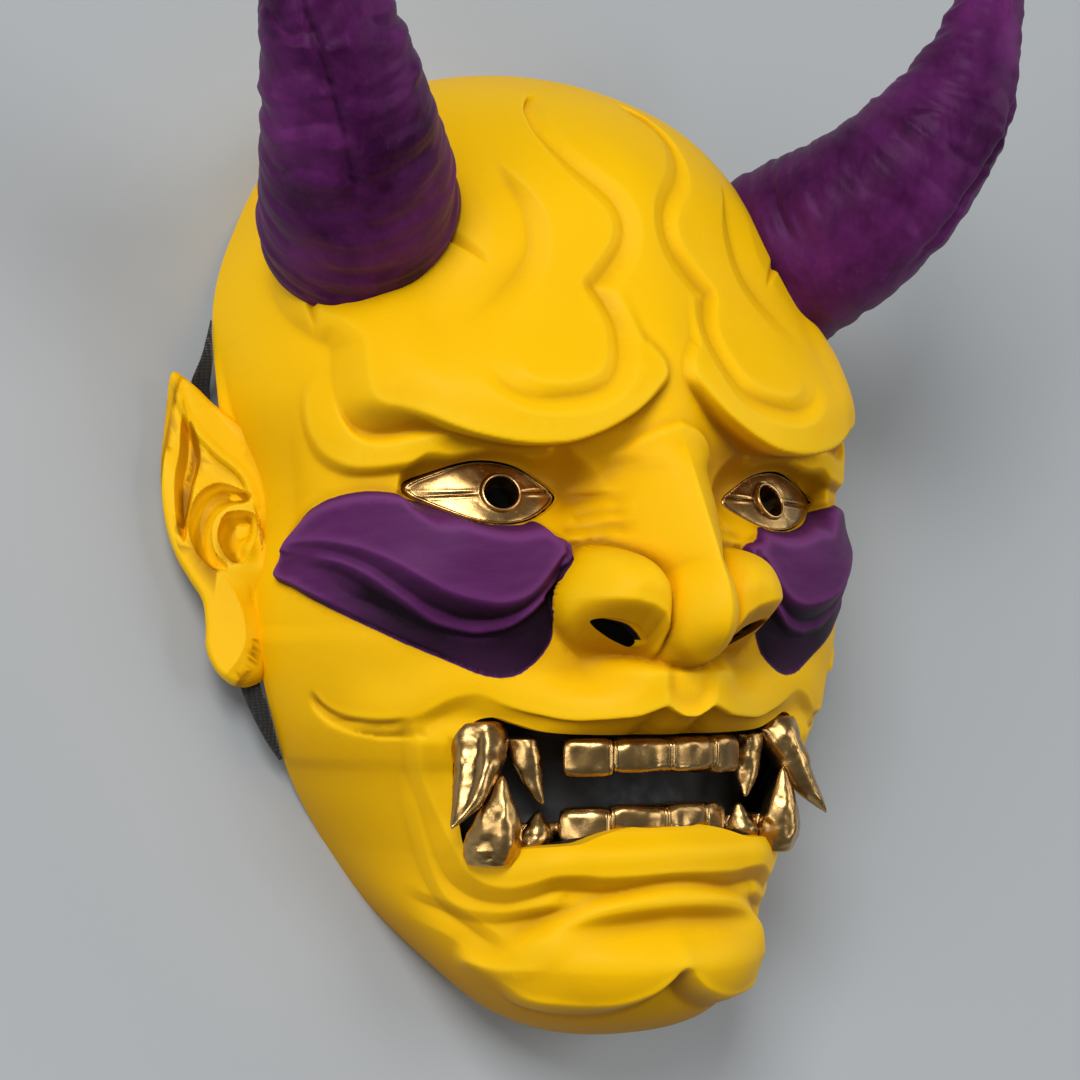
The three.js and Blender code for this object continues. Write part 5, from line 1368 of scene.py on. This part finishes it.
def eye_edge(w):
    """Edge of the insert in direction w from the pupil centre, as (x, y)."""
    line = spline(EYE_OUTLINE, 24, True)
    n = np.roll(line, -1, axis=0) - np.roll(line, 1, axis=0)
    n = unit(np.stack([-n[:, 1], n[:, 0]], axis=1))
    line = line + n * EYE_GAP
    angle = np.arctan2(line[:, 1] - pupil_centre[1], line[:, 0] - pupil_centre[0])
    order = np.argsort(angle)
    angle = angle[order]
    line = line[order]
    angle = np.concatenate([angle - 2 * math.pi, angle, angle + 2 * math.pi])
    line = np.concatenate([line, line, line])
    w = (w + math.pi) % (2 * math.pi) - math.pi
    return np.stack([np.interp(w, angle, line[:, 0]), np.interp(w, angle, line[:, 1])], axis=1)


def pupil_ring(w, radius):
    """A ring round the pupil, square to the eye's own axis."""
    return pupil_centre + radius * (eye_across * np.cos(w)[:, None] + eye_up * np.sin(w)[:, None])


print("pupil at", tuple(round(float(v), 2) for v in pupil_centre), "mm")

# %% eyes
PUPIL_RIM = [
    (PUPIL_RADIUS, -7.5), (PUPIL_RADIUS, -4), (PUPIL_RADIUS, -0.6),
    (3.92, 0.2), (4.05, 0.55), (4.3, 0.68), (4.55, 0.5), (4.7, 0.1),
]
BACK_RINGS = [(1.0, -2.0), (1.0, -4.0), (0.7, -4.2)]
EYE_ROWS = 52
DOME_ROWS = EYE_ROWS - len(PUPIL_RIM) - 4


def eye_dome(w, edge, share):
    """The almond between pupil rim and edge: a bead near the edge and a crease along the middle."""
    xy = mix(pupil_ring(w, DOME_START)[:, :2], edge, share)
    drop = 0.4 * share ** 6 + 0.25
    bead = 0.45 * bump((share - 0.93) / 0.035)
    ends = ease(4, 9, np.abs(xy[:, 0] - PUPIL_HALF_SPACING))
    line = np.abs(xy[:, 1] + 0.05 * (xy[:, 0] - 38))
    crease = ends * (0.5 * bump(line / 0.34) - 0.18 * bump((line - 0.75) / 0.3))
    crease = crease * (1 - bump((share - 1) / 0.1))
    lump = 0.09 * rough(np.column_stack([xy, xy[:, :1] * 0]), 2.3, 4) * ease(0, 0.2, share)
    return np.column_stack([xy, eye_surface(xy[:, 0], xy[:, 1]) - drop + bead - crease + lump])


def eye_place(side):
    def place(u, v):
        w = 2 * math.pi * u
        edge = eye_edge(w)
        rows = np.round(v * EYE_ROWS).astype(int)
        out = np.zeros((len(u), 3))
        for row in range(EYE_ROWS + 1):
            here = rows == row
            k = row % EYE_ROWS
            if k < len(PUPIL_RIM):
                radius, height = PUPIL_RIM[k]
                out[here] = pupil_ring(w[here], radius) + EYE_NORMAL * height
            elif k <= DOME_ROWS + len(PUPIL_RIM):
                out[here] = eye_dome(w[here], edge[here], (k - len(PUPIL_RIM)) / DOME_ROWS)
            else:
                inset, depth = BACK_RINGS[min(k - (EYE_ROWS - 4) - 1, 2)]
                xy = mix(pupil_centre[:2], edge[here], inset)
                out[here] = np.column_stack([xy, eye_surface(xy[:, 0], xy[:, 1]) + depth])
        return out * [side, 1, 1]
    return place


gilded = []
for label, side in SIDES:
    eye = rolled("eye_" + label + "_gilt", 192, EYE_ROWS, eye_place(side))
    stand_for(eye, "eye_" + label)
    gilded.append(eye)
    print(eye.name, tri_count(eye), "triangles")

# %% [markdown]
# The fangs are cast metal. Each is a grid rolled round a curved line with its own
# widths, then dented a little, as a hand-finished casting is. Five numbers describe
# each station of the line: its place, its half width and its half depth.

# %% fangs
TOOTH_ROWS = 56
TOOTH_ROUND = 56


def squared(wave, power):
    """A sine or cosine pushed towards a square, which makes a round section boxy."""
    return np.sign(wave) * np.abs(wave) ** power


def round_end(v, length):
    """1 along a tooth, falling to 0 like a quarter circle over the last share of it."""
    return np.sqrt(np.clip(1 - np.maximum(1 - v / length, 0) ** 2, 0, 1))


def tooth_place(stations, yaw, seed, mirror, groove_depth=0.0):
    path = spline(stations, 12, False)
    sign = np.sign(path[0][1] - path[-1][1])

    def place(u, v):
        index = v * (len(path) - 1)
        k = np.arange(len(path))
        x, y, z, wide, deep = [np.interp(index, k, path[:, m]) for m in range(5)]
        w = 2 * math.pi * u
        ends = np.where((v <= 0) | (v >= 1), 0, round_end(v, 0.04) * round_end(1 - v, 0.05))
        a = wide * squared(np.cos(w), 0.8) * ends
        b = deep * squared(np.sin(w), 0.8) * ends
        y = y + np.where(v <= 0, 0.2 * sign, 0) - np.where(v >= 1, 0.25 * sign, 0)
        p = np.column_stack([x + a * math.cos(yaw) + b * math.sin(yaw), y,
                             z - a * math.sin(yaw) + b * math.cos(yaw)])
        size = np.minimum(wide, deep)[:, None] * ends[:, None]
        away = unit(p - np.column_stack([x, y, z]) + 1e-6)
        dent = 0.09 * rough(p, 3.4, seed) + 0.035 * rough(p, 1.3, seed + 1)
        flute = groove_depth * bump(wrapped(w - 1.75) / 0.3) * ease(0.05, 0.25, v) * ease(0.95, 0.6, v)
        p = p + away * (size * (dent - flute)[:, None])
        return p * [mirror, 1, 1]
    return place


def tooth(name, stations, yaw, seed, mirror, groove_depth=0.0):
    return rolled(name, TOOTH_ROUND, TOOTH_ROWS, tooth_place(stations, yaw, seed, mirror, groove_depth))


print("a fang has", TOOTH_ROUND, "points round it")

# %% [markdown]
# The incisors are a row of blocks in one skin. Single rounded cubes would show gaps
# or overlaps at their seams, so one grid is rolled round the whole arch and pinched
# at each seam, with a bead of metal left in the pinch.

# %% incisor rows
UPPER_BEND = 0.0142
LOWER_BEND = 0.0195


def arch(x):
    return 13.2 - UPPER_BEND * x * x


def low_arch(x):
    return 11 - LOWER_BEND * x * x


def wide_arch(x):
    return mix(low_arch(x), 3 - 0.11 * (np.abs(x) - 20), ease(16, 30, np.abs(x)))


def row_place(seams, roots, edges, bend, arch_at, depth, seed):
    """A row of block teeth in one skin; bend is the coefficient of the arch."""
    seams = np.array([-s for s in seams[:0:-1]] + list(seams), dtype=float)
    roots = np.array(roots[::-1] + roots, dtype=float)
    edges = np.array(edges[::-1] + edges, dtype=float)

    def place(u, v):
        x = mix(seams[0], seams[-1], v)
        k = np.clip(np.searchsorted(seams, x) - 1, 0, len(seams) - 2)
        t = 2 * (x - seams[k]) / (seams[k + 1] - seams[k]) - 1
        w = 2 * math.pi * u
        c = squared(np.cos(w), 0.5)
        s = squared(np.sin(w), 0.5)
        ends = np.where((v <= 0) | (v >= 1), 0, round_end(np.minimum(v, 1 - v), 0.02))
        middle = (roots[k] + edges[k]) / 2
        half = (roots[k] - edges[k]) / 2
        flat = np.column_stack([x, w * 3, x * 0])
        half = half * (1 - 0.16 * np.abs(t) ** 5) + 0.22 * rough(flat, 4.2, seed + 4) * np.sign(half)
        y = middle + half * s * ends
        near = np.min(np.abs(x[:, None] - seams[None, :]), axis=1)
        pillow = 0.75 * (1 - np.abs(t) ** 3.5) - 0.3
        p = np.column_stack([x, y, x * 0])
        lumps = 0.34 * rough(p, 4.6, seed) + 0.17 * rough(p, 2.1, seed + 1)
        bead = 0.55 * bump((near - 0.35) / 0.3) + 0.35 * bump((np.abs(s) - 0.93) / 0.05)
        out = np.where(c > 0, (pillow + lumps) * np.minimum(1, np.abs(c) * 1.2) + bead, 0)
        off = (depth / 2) * (c * ends - 1) + out * ends
        slope = 2 * bend * x
        size = np.sqrt(1 + slope * slope)
        return np.column_stack([x + off * slope / size, y, arch_at(x) + off / size])
    return place


def gum_bar(x1, y0, y1, arch_at, back, depth):
    """The flat bar behind a row, as one closed skin that the teeth are joined to."""
    count = 57
    x = np.linspace(-x1, x1, count)
    outer_row = [np.column_stack([x, np.full(count, y), arch_at(x) - back]) for y in (y0, y1)]
    behind = arch_at(x) - back - depth
    inner_row = [np.column_stack([x * 0.93, np.full(count, y), behind]) for y in (y0, y1)]
    points = np.concatenate([outer_row[0], outer_row[1], inner_row[1], inner_row[0]])
    faces = []
    for i in range(count - 1):
        for k in range(4):
            a = k * count + i
            b = ((k + 1) % 4) * count + i
            faces.append((a, a + 1, b + 1, b))
    faces += [tuple(k * count for k in range(4)), tuple(k * count + count - 1 for k in (3, 2, 1, 0))]
    return points, faces


print("upper arch drops", round(float(arch(0) - arch(24.7)), 1), "mm to its ends")

# %% upper and lower teeth
UPPER_SEAMS = [0, 14.1, 24.7]
LOWER_SEAMS = [0, 13.2, 23.4]
SMALL_UPPER_FANG = [
    [30.6, -55.2, -2.5, 4.2, 4.2], [30.2, -60, -1.6, 3.9, 3.9],
    [29.2, -66, 0, 2.4, 2.6], [27.8, -70.4, 2, 0.5, 0.5],
]
BIG_UPPER_FANG = [
    [40.4, -51.2, -5.5, 5.6, 5], [41, -56, -3.4, 6.3, 5.6], [43.2, -63, -1, 5.2, 4.8],
    [46.8, -70, 1, 3.2, 3], [51.2, -75, 2.2, 0.5, 0.5],
]
BIG_LOWER_FANG = [
    [38.6, -84.4, -3.2, 5.2, 4.6], [38.9, -80, -1.4, 6.5, 5.4],
    [38.9, -73, 0.6, 4.8, 4.2], [38.4, -63.6, 2.2, 0.5, 0.5],
]
SMALL_LOWER_FANG = [[28.4, -81.6, -2.6, 3.4, 4.4], [28, -78, -1.6, 3.9, 4.6], [27.4, -72, -0.6, 0.6, 0.6]]
ROW_STEPS = 260


def join_all(name, parts):
    first = parts[0]
    for other in parts[1:]:
        cut(first, other, "UNION")
    first.name = name
    first.data.name = name
    return first


upper_row = rolled("upper_incisors_gilt", TOOTH_ROUND, ROW_STEPS,
                   row_place(UPPER_SEAMS, [-55.5, -55.3], [-63.6, -64.4], UPPER_BEND, arch, 11, 20))
stand_for(upper_row, "upper_incisors")
lower_blocks = row_place(LOWER_SEAMS, [-77.4, -81], [-70.9, -71.3], LOWER_BEND, low_arch, 10, 30)
lower_bar = new_tool("lower_bar", *gum_bar(38, -77.6, -75, wide_arch, 2.2, 8))
bpy.ops.object.shade_smooth()
lower = [lower_bar, rolled("lower_blocks", TOOTH_ROUND, ROW_STEPS, lower_blocks)]
for side in (1, -1):
    lower.append(tooth("lower_small", SMALL_LOWER_FANG, 0.85, 40 + side, side))
    lower.append(tooth("lower_big", BIG_LOWER_FANG, 0.9, 44 + side, side, 0.12))
lower_row = join_all("lower_teeth_gilt", lower)
stand_for(lower_row, "lower_teeth")
gilded += [upper_row, lower_row]
print("upper row", tri_count(upper_row), "lower row", tri_count(lower_row))
for label, side in SIDES:
    small = tooth("small_fang_" + label, SMALL_UPPER_FANG, 0.8, 50 + side, side)
    stand_for(small, "upper_small_fang_" + label)
    large = tooth("large_fang_" + label, BIG_UPPER_FANG, 0.9, 54 + side, side, 0.24)
    stand_for(large, "upper_large_fang_" + label)
    gilded += [small, large]
    print(small.name, tri_count(small), large.name, tri_count(large))

# %% [markdown]
# Behind the teeth lies a dished black panel that follows the inside of the shell, so
# that nobody looks through the mouth. It is two layers cut from the inner grid.

# %% mouth backing
PANEL_DISH = 6.0
PANEL_FRONT = 0.8
PANEL_BACK = 2.8
PANEL_HALF_COLUMNS = 60
inner_normals = grid_normals(inner)


def panel_layer(offset):
    rows = []
    mid = inner.shape[1] // 2
    across = slice(mid - PANEL_HALF_COLUMNS, mid + PANEL_HALF_COLUMNS + 1, 3)
    for j in range(0, inner.shape[0], 3):
        y, z = inner[j, mid, 1:]
        if -99 < y < -40 and z > -16:
            p = inner[j, across]
            a = np.abs(p[:, 0])
            dish = PANEL_DISH * ease(54, 46, a) * ease(-46, -53, p[:, 1]) * ease(-94, -87, p[:, 1])
            q = p - inner_normals[j, across] * offset
            q[:, 2] -= dish
            rows.append(q)
    return np.array(rows)


points, faces = closed_skin(panel_layer(PANEL_FRONT), panel_layer(PANEL_BACK))
panel = new_piece("mouth_backing_panel", points, faces, "mouth_backing")
print("panel", tri_count(panel))

# %% [markdown]
# The side bands are black webbing with two rows of stitches, glued along the outer edge
# of the rim and passing under the ears. Flat webbing that is glued down keeps its
# shape, so it needs no simulation: it is laid out from the rim's own points.

# %% side bands
BAND_TOP = 44
BAND_BOTTOM = -61
BAND_WIDTH = 4.4
BAND_EDGE = 0.4
STITCH_ROWS = (1.5, 3.5)
STITCH_WIDTH = 0.42
UNDER_EAR = -55.9
EAR_ROOT_X = 74.8
EAR_ROOT_Y = -0.87


def webbing_height(out, width, run):
    """Thickness of the cloth over the rim, with its edges, stitches and ribs."""
    stitch = sum(bump((out - row) / STITCH_WIDTH) for row in STITCH_ROWS)
    edge = ease(0, 0.5, np.minimum(out - BAND_EDGE, width - out))
    lift = 0.55 + 0.5 * edge - 0.2 * stitch + 0.45 * stitch * np.abs(np.sin(run * 2.3))[:, None]
    return lift + 0.08 * edge * np.sin(run * 7)[:, None] * (1 - np.minimum(stitch, 1))


def band_layer(top, side):
    """Rows of points across the webbing, on its stitched top or its flat underside."""
    reach = 10
    rim = outer[:, -1]
    along = rim[2 * reach:] - rim[:-2 * reach]
    rim = rim[reach:-reach]
    run = np.concatenate([[0], np.cumsum(np.hypot(*np.diff(rim[:, :2], axis=0).T))])
    keep = (rim[:, 1] <= BAND_TOP) & (rim[:, 1] >= BAND_BOTTOM)
    rim, along, run = rim[keep], along[keep], run[keep]
    length = np.hypot(along[:, 0], along[:, 1])
    taper = ease(BAND_TOP + 3, BAND_TOP - 17, rim[:, 1:2])
    taper = taper * ease(BAND_BOTTOM - 5, BAND_BOTTOM + 11, rim[:, 1:2])
    width = BAND_EDGE + (BAND_WIDTH - BAND_EDGE) * taper
    out = BAND_EDGE + (width - BAND_EDGE) * np.linspace(0, 1, 22)[None, :]
    x = rim[:, :1] + out * (np.abs(along[:, 1]) / length)[:, None]
    y = rim[:, 1:2] - out * (along[:, 0] * np.sign(along[:, 1]) / length)[:, None]
    lift = webbing_height(out, width, run) if top else 0.12
    level = rim[:, 2:] + RIM_SLOPE * (y - rim[:, 1:2])
    under = UNDER_EAR + EAR_OUT[2] * (x - EAR_ROOT_X) / EAR_OUT[0] + EAR_UP[2] * (y - EAR_ROOT_Y) / EAR_UP[1]
    dip = ease(37, 26.5, y) * ease(-56, -47, y)
    return np.stack([x * side, y, mix(level, np.minimum(level, under), dip) + lift], axis=2)


bands = []
for label, side in SIDES:
    points, faces = closed_skin(band_layer(True, side), band_layer(False, side))
    band = new_piece("side_band_" + label + "_cloth", points, faces, "side_band_" + label)
    bands.append(band)
    print(band.name, tri_count(band))

# %% [markdown]
# A finish is built as a painter does it: a ground colour, then thin layers over it,
# each let through by a pattern or by a number on the points. A small class keeps the
# nodes of one finish together, so that each layer is one line.

# %% material helpers


def srgb(r, g, b):
    """Display colour 0 to 255 as the linear colour that Blender mixes."""
    out = []
    for v in (r, g, b):
        c = v / 255
        out.append(c / 12.92 if c <= 0.04045 else ((c + 0.055) / 1.055) ** 2.4)
    return (*out, 1.0)


class Paint:
    """A node material built step by step."""

    def __init__(self, name):
        self.material = bpy.data.materials.new(name)
        self.material.use_nodes = True
        self.nodes = self.material.node_tree.nodes
        self.links = self.material.node_tree.links
        self.shader = self.nodes["Principled BSDF"]
        self.where = self.add("ShaderNodeTexCoord").outputs["Object"]

    def add(self, kind, **settings):
        node = self.nodes.new(kind)
        for key, value in settings.items():
            setattr(node, key, value)
        return node

    def put(self, value, socket):
        """Links an output, or sets a plain value."""
        if hasattr(value, "node"):
            self.links.new(value, socket)
        else:
            socket.default_value = value

    def noise(self, scale, detail=4.0, roughness=0.5, where=None):
        node = self.add("ShaderNodeTexNoise")
        for key, value in (("Scale", scale), ("Detail", detail), ("Roughness", roughness)):
            node.inputs[key].default_value = value
        self.put(where or self.where, node.inputs["Vector"])
        return node.outputs["Fac"]

    def stretch(self, scale, turn=(0, 0, 0)):
        node = self.add("ShaderNodeMapping")
        node.inputs["Scale"].default_value = scale
        node.inputs["Rotation"].default_value = turn
        self.put(self.where, node.inputs["Vector"])
        return node.outputs["Vector"]

    def wave(self, direction, scale, distortion):
        node = self.add("ShaderNodeTexWave", wave_type="BANDS", bands_direction=direction)
        node.inputs["Scale"].default_value = scale
        node.inputs["Distortion"].default_value = distortion
        self.put(self.where, node.inputs["Vector"])
        return node.outputs["Fac"]

    def range(self, value, low, high, to_low=0.0, to_high=1.0):
        node = self.add("ShaderNodeMapRange", clamp=True)
        for key, v in (("From Min", low), ("From Max", high), ("To Min", to_low), ("To Max", to_high)):
            node.inputs[key].default_value = v
        self.put(value, node.inputs["Value"])
        return node.outputs["Result"]

    def blend(self, share, a, b):
        node = self.add("ShaderNodeMix", data_type="RGBA")
        for value, socket in ((share, node.inputs[0]), (a, node.inputs[6]), (b, node.inputs[7])):
            self.put(value, socket)
        return node.outputs[2]

    def maths(self, operation, a, b):
        node = self.add("ShaderNodeMath", operation=operation)
        self.put(a, node.inputs[0])
        self.put(b, node.inputs[1])
        return node.outputs[0]

    def attribute(self, name):
        return self.add("ShaderNodeAttribute", attribute_name=name).outputs["Fac"]

    def pointiness(self):
        return self.add("ShaderNodeNewGeometry").outputs["Pointiness"]

    def bumps(self, height, strength, distance, after=None):
        node = self.add("ShaderNodeBump")
        node.inputs["Strength"].default_value = strength
        node.inputs["Distance"].default_value = distance
        self.put(height, node.inputs["Height"])
        if after is not None:
            self.put(after, node.inputs["Normal"])
        return node.outputs["Normal"]

    def finish(self, colour, roughness, normal=None, metallic=0.0, specular=0.5, sheen=0.0):
        self.put(colour, self.shader.inputs["Base Color"])
        self.put(roughness, self.shader.inputs["Roughness"])
        for key, value in (("Metallic", metallic), ("Specular IOR Level", specular), ("Sheen Weight", sheen)):
            self.shader.inputs[key].default_value = value
        if normal is not None:
            self.put(normal, self.shader.inputs["Normal"])
        return self.material


def give(obj, material):
    obj.data.materials.clear()
    obj.data.materials.append(material)


print("linear mid grey", round(srgb(128, 128, 128)[0], 3))

# %% [markdown]
# The shell is painted yellow with purple cheek plates. Two materials would split along
# the mesh's own edges, so one material reads the stored distance from the plate's edge
# and changes colour there, with a line that wavers as a brushed one does.

# %% yellow and purple of the shell
shell_paint = Paint("shell_paint")
streak = shell_paint.noise(26, 5, 0.6, shell_paint.stretch((1, 3.2, 1), (0, 0, 0.5)))
cloud = shell_paint.noise(9, 3, 0.5)
grain = shell_paint.noise(900, 3, 0.6)
yellow = shell_paint.blend(shell_paint.range(cloud, 0.35, 0.65), srgb(250, 190, 0), srgb(253, 197, 2))
yellow = shell_paint.blend(shell_paint.range(streak, 0.62, 0.75, 0, 0.35), yellow, srgb(240, 176, 0))
brush = shell_paint.noise(60, 6, 0.65, shell_paint.stretch((1, 6, 1), (0, 0, 0.35)))
purple = shell_paint.blend(shell_paint.range(brush, 0.4, 0.66), srgb(84, 32, 83), srgb(92, 38, 91))
# Painted shade darkens the yellow and the purple in hollows, on downward faces and under the plate fold;
# where the value is negative, on crests, a painted highlight lightens them.
painted_shade_value = shell_paint.attribute("painted_shade")
yellow = shell_paint.blend(shell_paint.range(painted_shade_value, 0.0, 1.0, 0, 0.85), yellow, srgb(160, 104, 0))
yellow = shell_paint.blend(shell_paint.range(painted_shade_value, 0.0, -0.5, 0, 0.5), yellow, srgb(255, 208, 34))
purple = shell_paint.blend(shell_paint.range(painted_shade_value, 0.0, 1.0, 0, 1.0), purple, srgb(22, 5, 20))
purple = shell_paint.blend(shell_paint.range(painted_shade_value, 0.0, -0.5, 0, 0.8), purple, srgb(122, 62, 121))
print("yellow and purple mixed")

# %% painted line, black inside and gloss of the shell
waver = shell_paint.maths("SUBTRACT", shell_paint.noise(320, 2), 0.5)
line = shell_paint.maths("ADD", shell_paint.attribute("cheek"), shell_paint.maths("MULTIPLY", waver, 0.25))
painted = shell_paint.range(line, -0.62, -0.38)
colour = shell_paint.blend(painted, yellow, purple)
soot = shell_paint.range(shell_paint.noise(40, 4), 0.3, 0.7)
dark = shell_paint.blend(soot, srgb(18, 18, 20), srgb(30, 30, 33))
inside = shell_paint.range(shell_paint.attribute("inside"), 0.45, 0.55)
colour = shell_paint.blend(inside, colour, dark)
roughness = shell_paint.range(shell_paint.noise(70, 5, 0.6), 0.3, 0.7, 0.46, 0.56)
normal = shell_paint.bumps(grain, 0.12, 0.0004)
normal = shell_paint.bumps(streak, 0.10, 0.0010, normal)
give(shell, shell_paint.finish(colour, roughness, normal, specular=0.1))
print("shell painted with", len(shell_paint.nodes), "nodes")

# %% [markdown]
# The horns are lacquered in the same purple, darker and glossier. Pointiness, which tells
# valleys from crests, sets a painted shade in the valleys of the ridges and a painted
# highlight on their crests.

# %% horn paint
horn_paint = Paint("horn_paint")
mottle = horn_paint.noise(45, 6, 0.65, horn_paint.stretch((1, 0.6, 1)))
fibre = horn_paint.noise(120, 6, 0.7, horn_paint.stretch((1.6, 0.35, 1.6)))
lacquer = horn_paint.blend(horn_paint.range(mottle, 0.35, 0.7), srgb(48, 10, 47), srgb(102, 38, 100))
lacquer = horn_paint.blend(horn_paint.range(fibre, 0.6, 0.75, 0, 0.3), lacquer, srgb(124, 62, 122))
crease_shade_crest_highlight = horn_paint.pointiness()
# Painted shade in the valleys of the ridges, painted highlight on their crests.
lacquer = horn_paint.blend(horn_paint.range(crease_shade_crest_highlight, 0.49, 0.44, 0, 0.9), lacquer, srgb(20, 2, 18))
lacquer = horn_paint.blend(horn_paint.range(crease_shade_crest_highlight, 0.52, 0.58, 0, 0.5), lacquer, srgb(136, 66, 134))
horn_normal = horn_paint.bumps(fibre, 0.25, 0.0008)
horn_normal = horn_paint.bumps(horn_paint.noise(700, 3), 0.1, 0.0003, horn_normal)
horn_material = horn_paint.finish(lacquer, horn_paint.range(mottle, 0.3, 0.7, 0.36, 0.48), horn_normal)
horn_paint.shader.inputs["Specular Tint"].default_value = (0.9, 0.6, 0.9, 1)
horn_paint.shader.inputs["IOR"].default_value = 1.2
for horn in horns:
    give(horn, horn_material)
print("horns lacquered with", len(horn_paint.nodes), "nodes")

# %% [markdown]
# Eyes and teeth are gilt: metal all over, worn bright on the crests and dark brown in the
# hollows, partly tarnish and partly painted shade, with patches of tarnish and fine pits from the casting.

# %% gilt metal
gilt = Paint("gilt")
tarnish = gilt.noise(160, 6, 0.7)
pits = gilt.noise(420, 4, 0.6)
# Bright where the gilt is worn on the crests; dark in the hollows, partly tarnish and partly painted shade.
wear_and_shade = gilt.range(gilt.pointiness(), 0.44, 0.56)
gold = gilt.blend(wear_and_shade, srgb(70, 46, 20), srgb(226, 184, 118))
gold = gilt.blend(gilt.range(tarnish, 0.52, 0.75, 0, 0.5), gold, srgb(118, 80, 40))
gilt_normal = gilt.bumps(pits, 0.12, 0.0004)
gilt_normal = gilt.bumps(tarnish, 0.12, 0.0008, gilt_normal)
gilt_material = gilt.finish(gold, gilt.range(tarnish, 0.3, 0.75, 0.2, 0.36), gilt_normal, metallic=1.0)
for obj in gilded:
    give(obj, gilt_material)
print("gilt on", len(gilded), "pieces")

# %% [markdown]
# The panel is matt black paint and the bands are black cloth. The weave is two sets of
# thin bands multiplied, warp by weft, which gives both the colour and the bumps.

# %% black panel and black cloth
panel_black = Paint("panel_black")
speck = panel_black.noise(300, 4)
panel_tone = panel_black.blend(panel_black.range(speck, 0.4, 0.7), srgb(12, 12, 13), srgb(24, 24, 26))
panel_roughness = panel_black.range(speck, 0.3, 0.7, 0.5, 0.7)
give(panel, panel_black.finish(panel_tone, panel_roughness, panel_black.bumps(speck, 0.2, 0.0004)))

cloth = Paint("black_cloth")
weave = cloth.maths("MULTIPLY", cloth.wave("Y", 420, 0.6), cloth.wave("X", 300, 0.0))
cloth_tone = cloth.blend(weave, srgb(8, 8, 9), srgb(34, 34, 37))
cloth_material = cloth.finish(cloth_tone, 0.85, cloth.bumps(weave, 0.6, 0.0006), sheen=0.3)
for band in bands:
    give(band, cloth_material)
print("black panel and", len(bands), "cloth bands finished")

# %% [markdown]
# A plain pale floor and five soft lights: a large key from beyond the crown, a front
# light, a fill on either side and a small card low down that the gilt can mirror.

# %% stage and light
bpy.ops.object.select_all(action="DESELECT")
bpy.ops.mesh.primitive_plane_add(size=6, location=(0, 0, 0))
floor = bpy.context.active_object
floor.name = "floor"
floor_paint = Paint("floor")
floor_cloud = floor_paint.range(floor_paint.noise(3, 2), 0.4, 0.6)
floor_grey = floor_paint.blend(floor_cloud, srgb(176, 180, 183), srgb(178, 182, 185))
give(floor, floor_paint.finish(floor_grey, 0.9, specular=0.1))
LIGHT_AIM = (0, 0, 0.05)


def soft_light(name, place, size, power):
    data = bpy.data.lights.new(name, "AREA")
    data.shape = "SQUARE"
    data.size = size
    data.energy = power
    obj = bpy.data.objects.new(name, data)
    bpy.context.scene.collection.objects.link(obj)
    to = Vector(LIGHT_AIM) - Vector(place)
    obj.matrix_world = Matrix.Translation(place) @ to.to_track_quat("-Z", "Y").to_matrix().to_4x4()


soft_light("key", (-1.15, 0.85, 1.9), 1.0, 34)
soft_light("front", (1.15, -0.1, 2.0), 1.1, 11)
soft_light("left_fill", (-2.0, -0.3, 1.0), 1.0, 13)
soft_light("right_fill", (1.9, 0.5, 0.9), 1.0, 5)
soft_light("low_card", (0.95, -1.1, 1.15), 0.5, 2.2)
world = bpy.data.worlds.new("world")
world.use_nodes = True
sky = world.node_tree.nodes["Background"]
sky.inputs["Color"].default_value = (0.9, 0.95, 1.0, 1)
sky.inputs["Strength"].default_value = 0.15
bpy.context.scene.world = world
bpy.context.scene.view_settings.view_transform = "Standard"
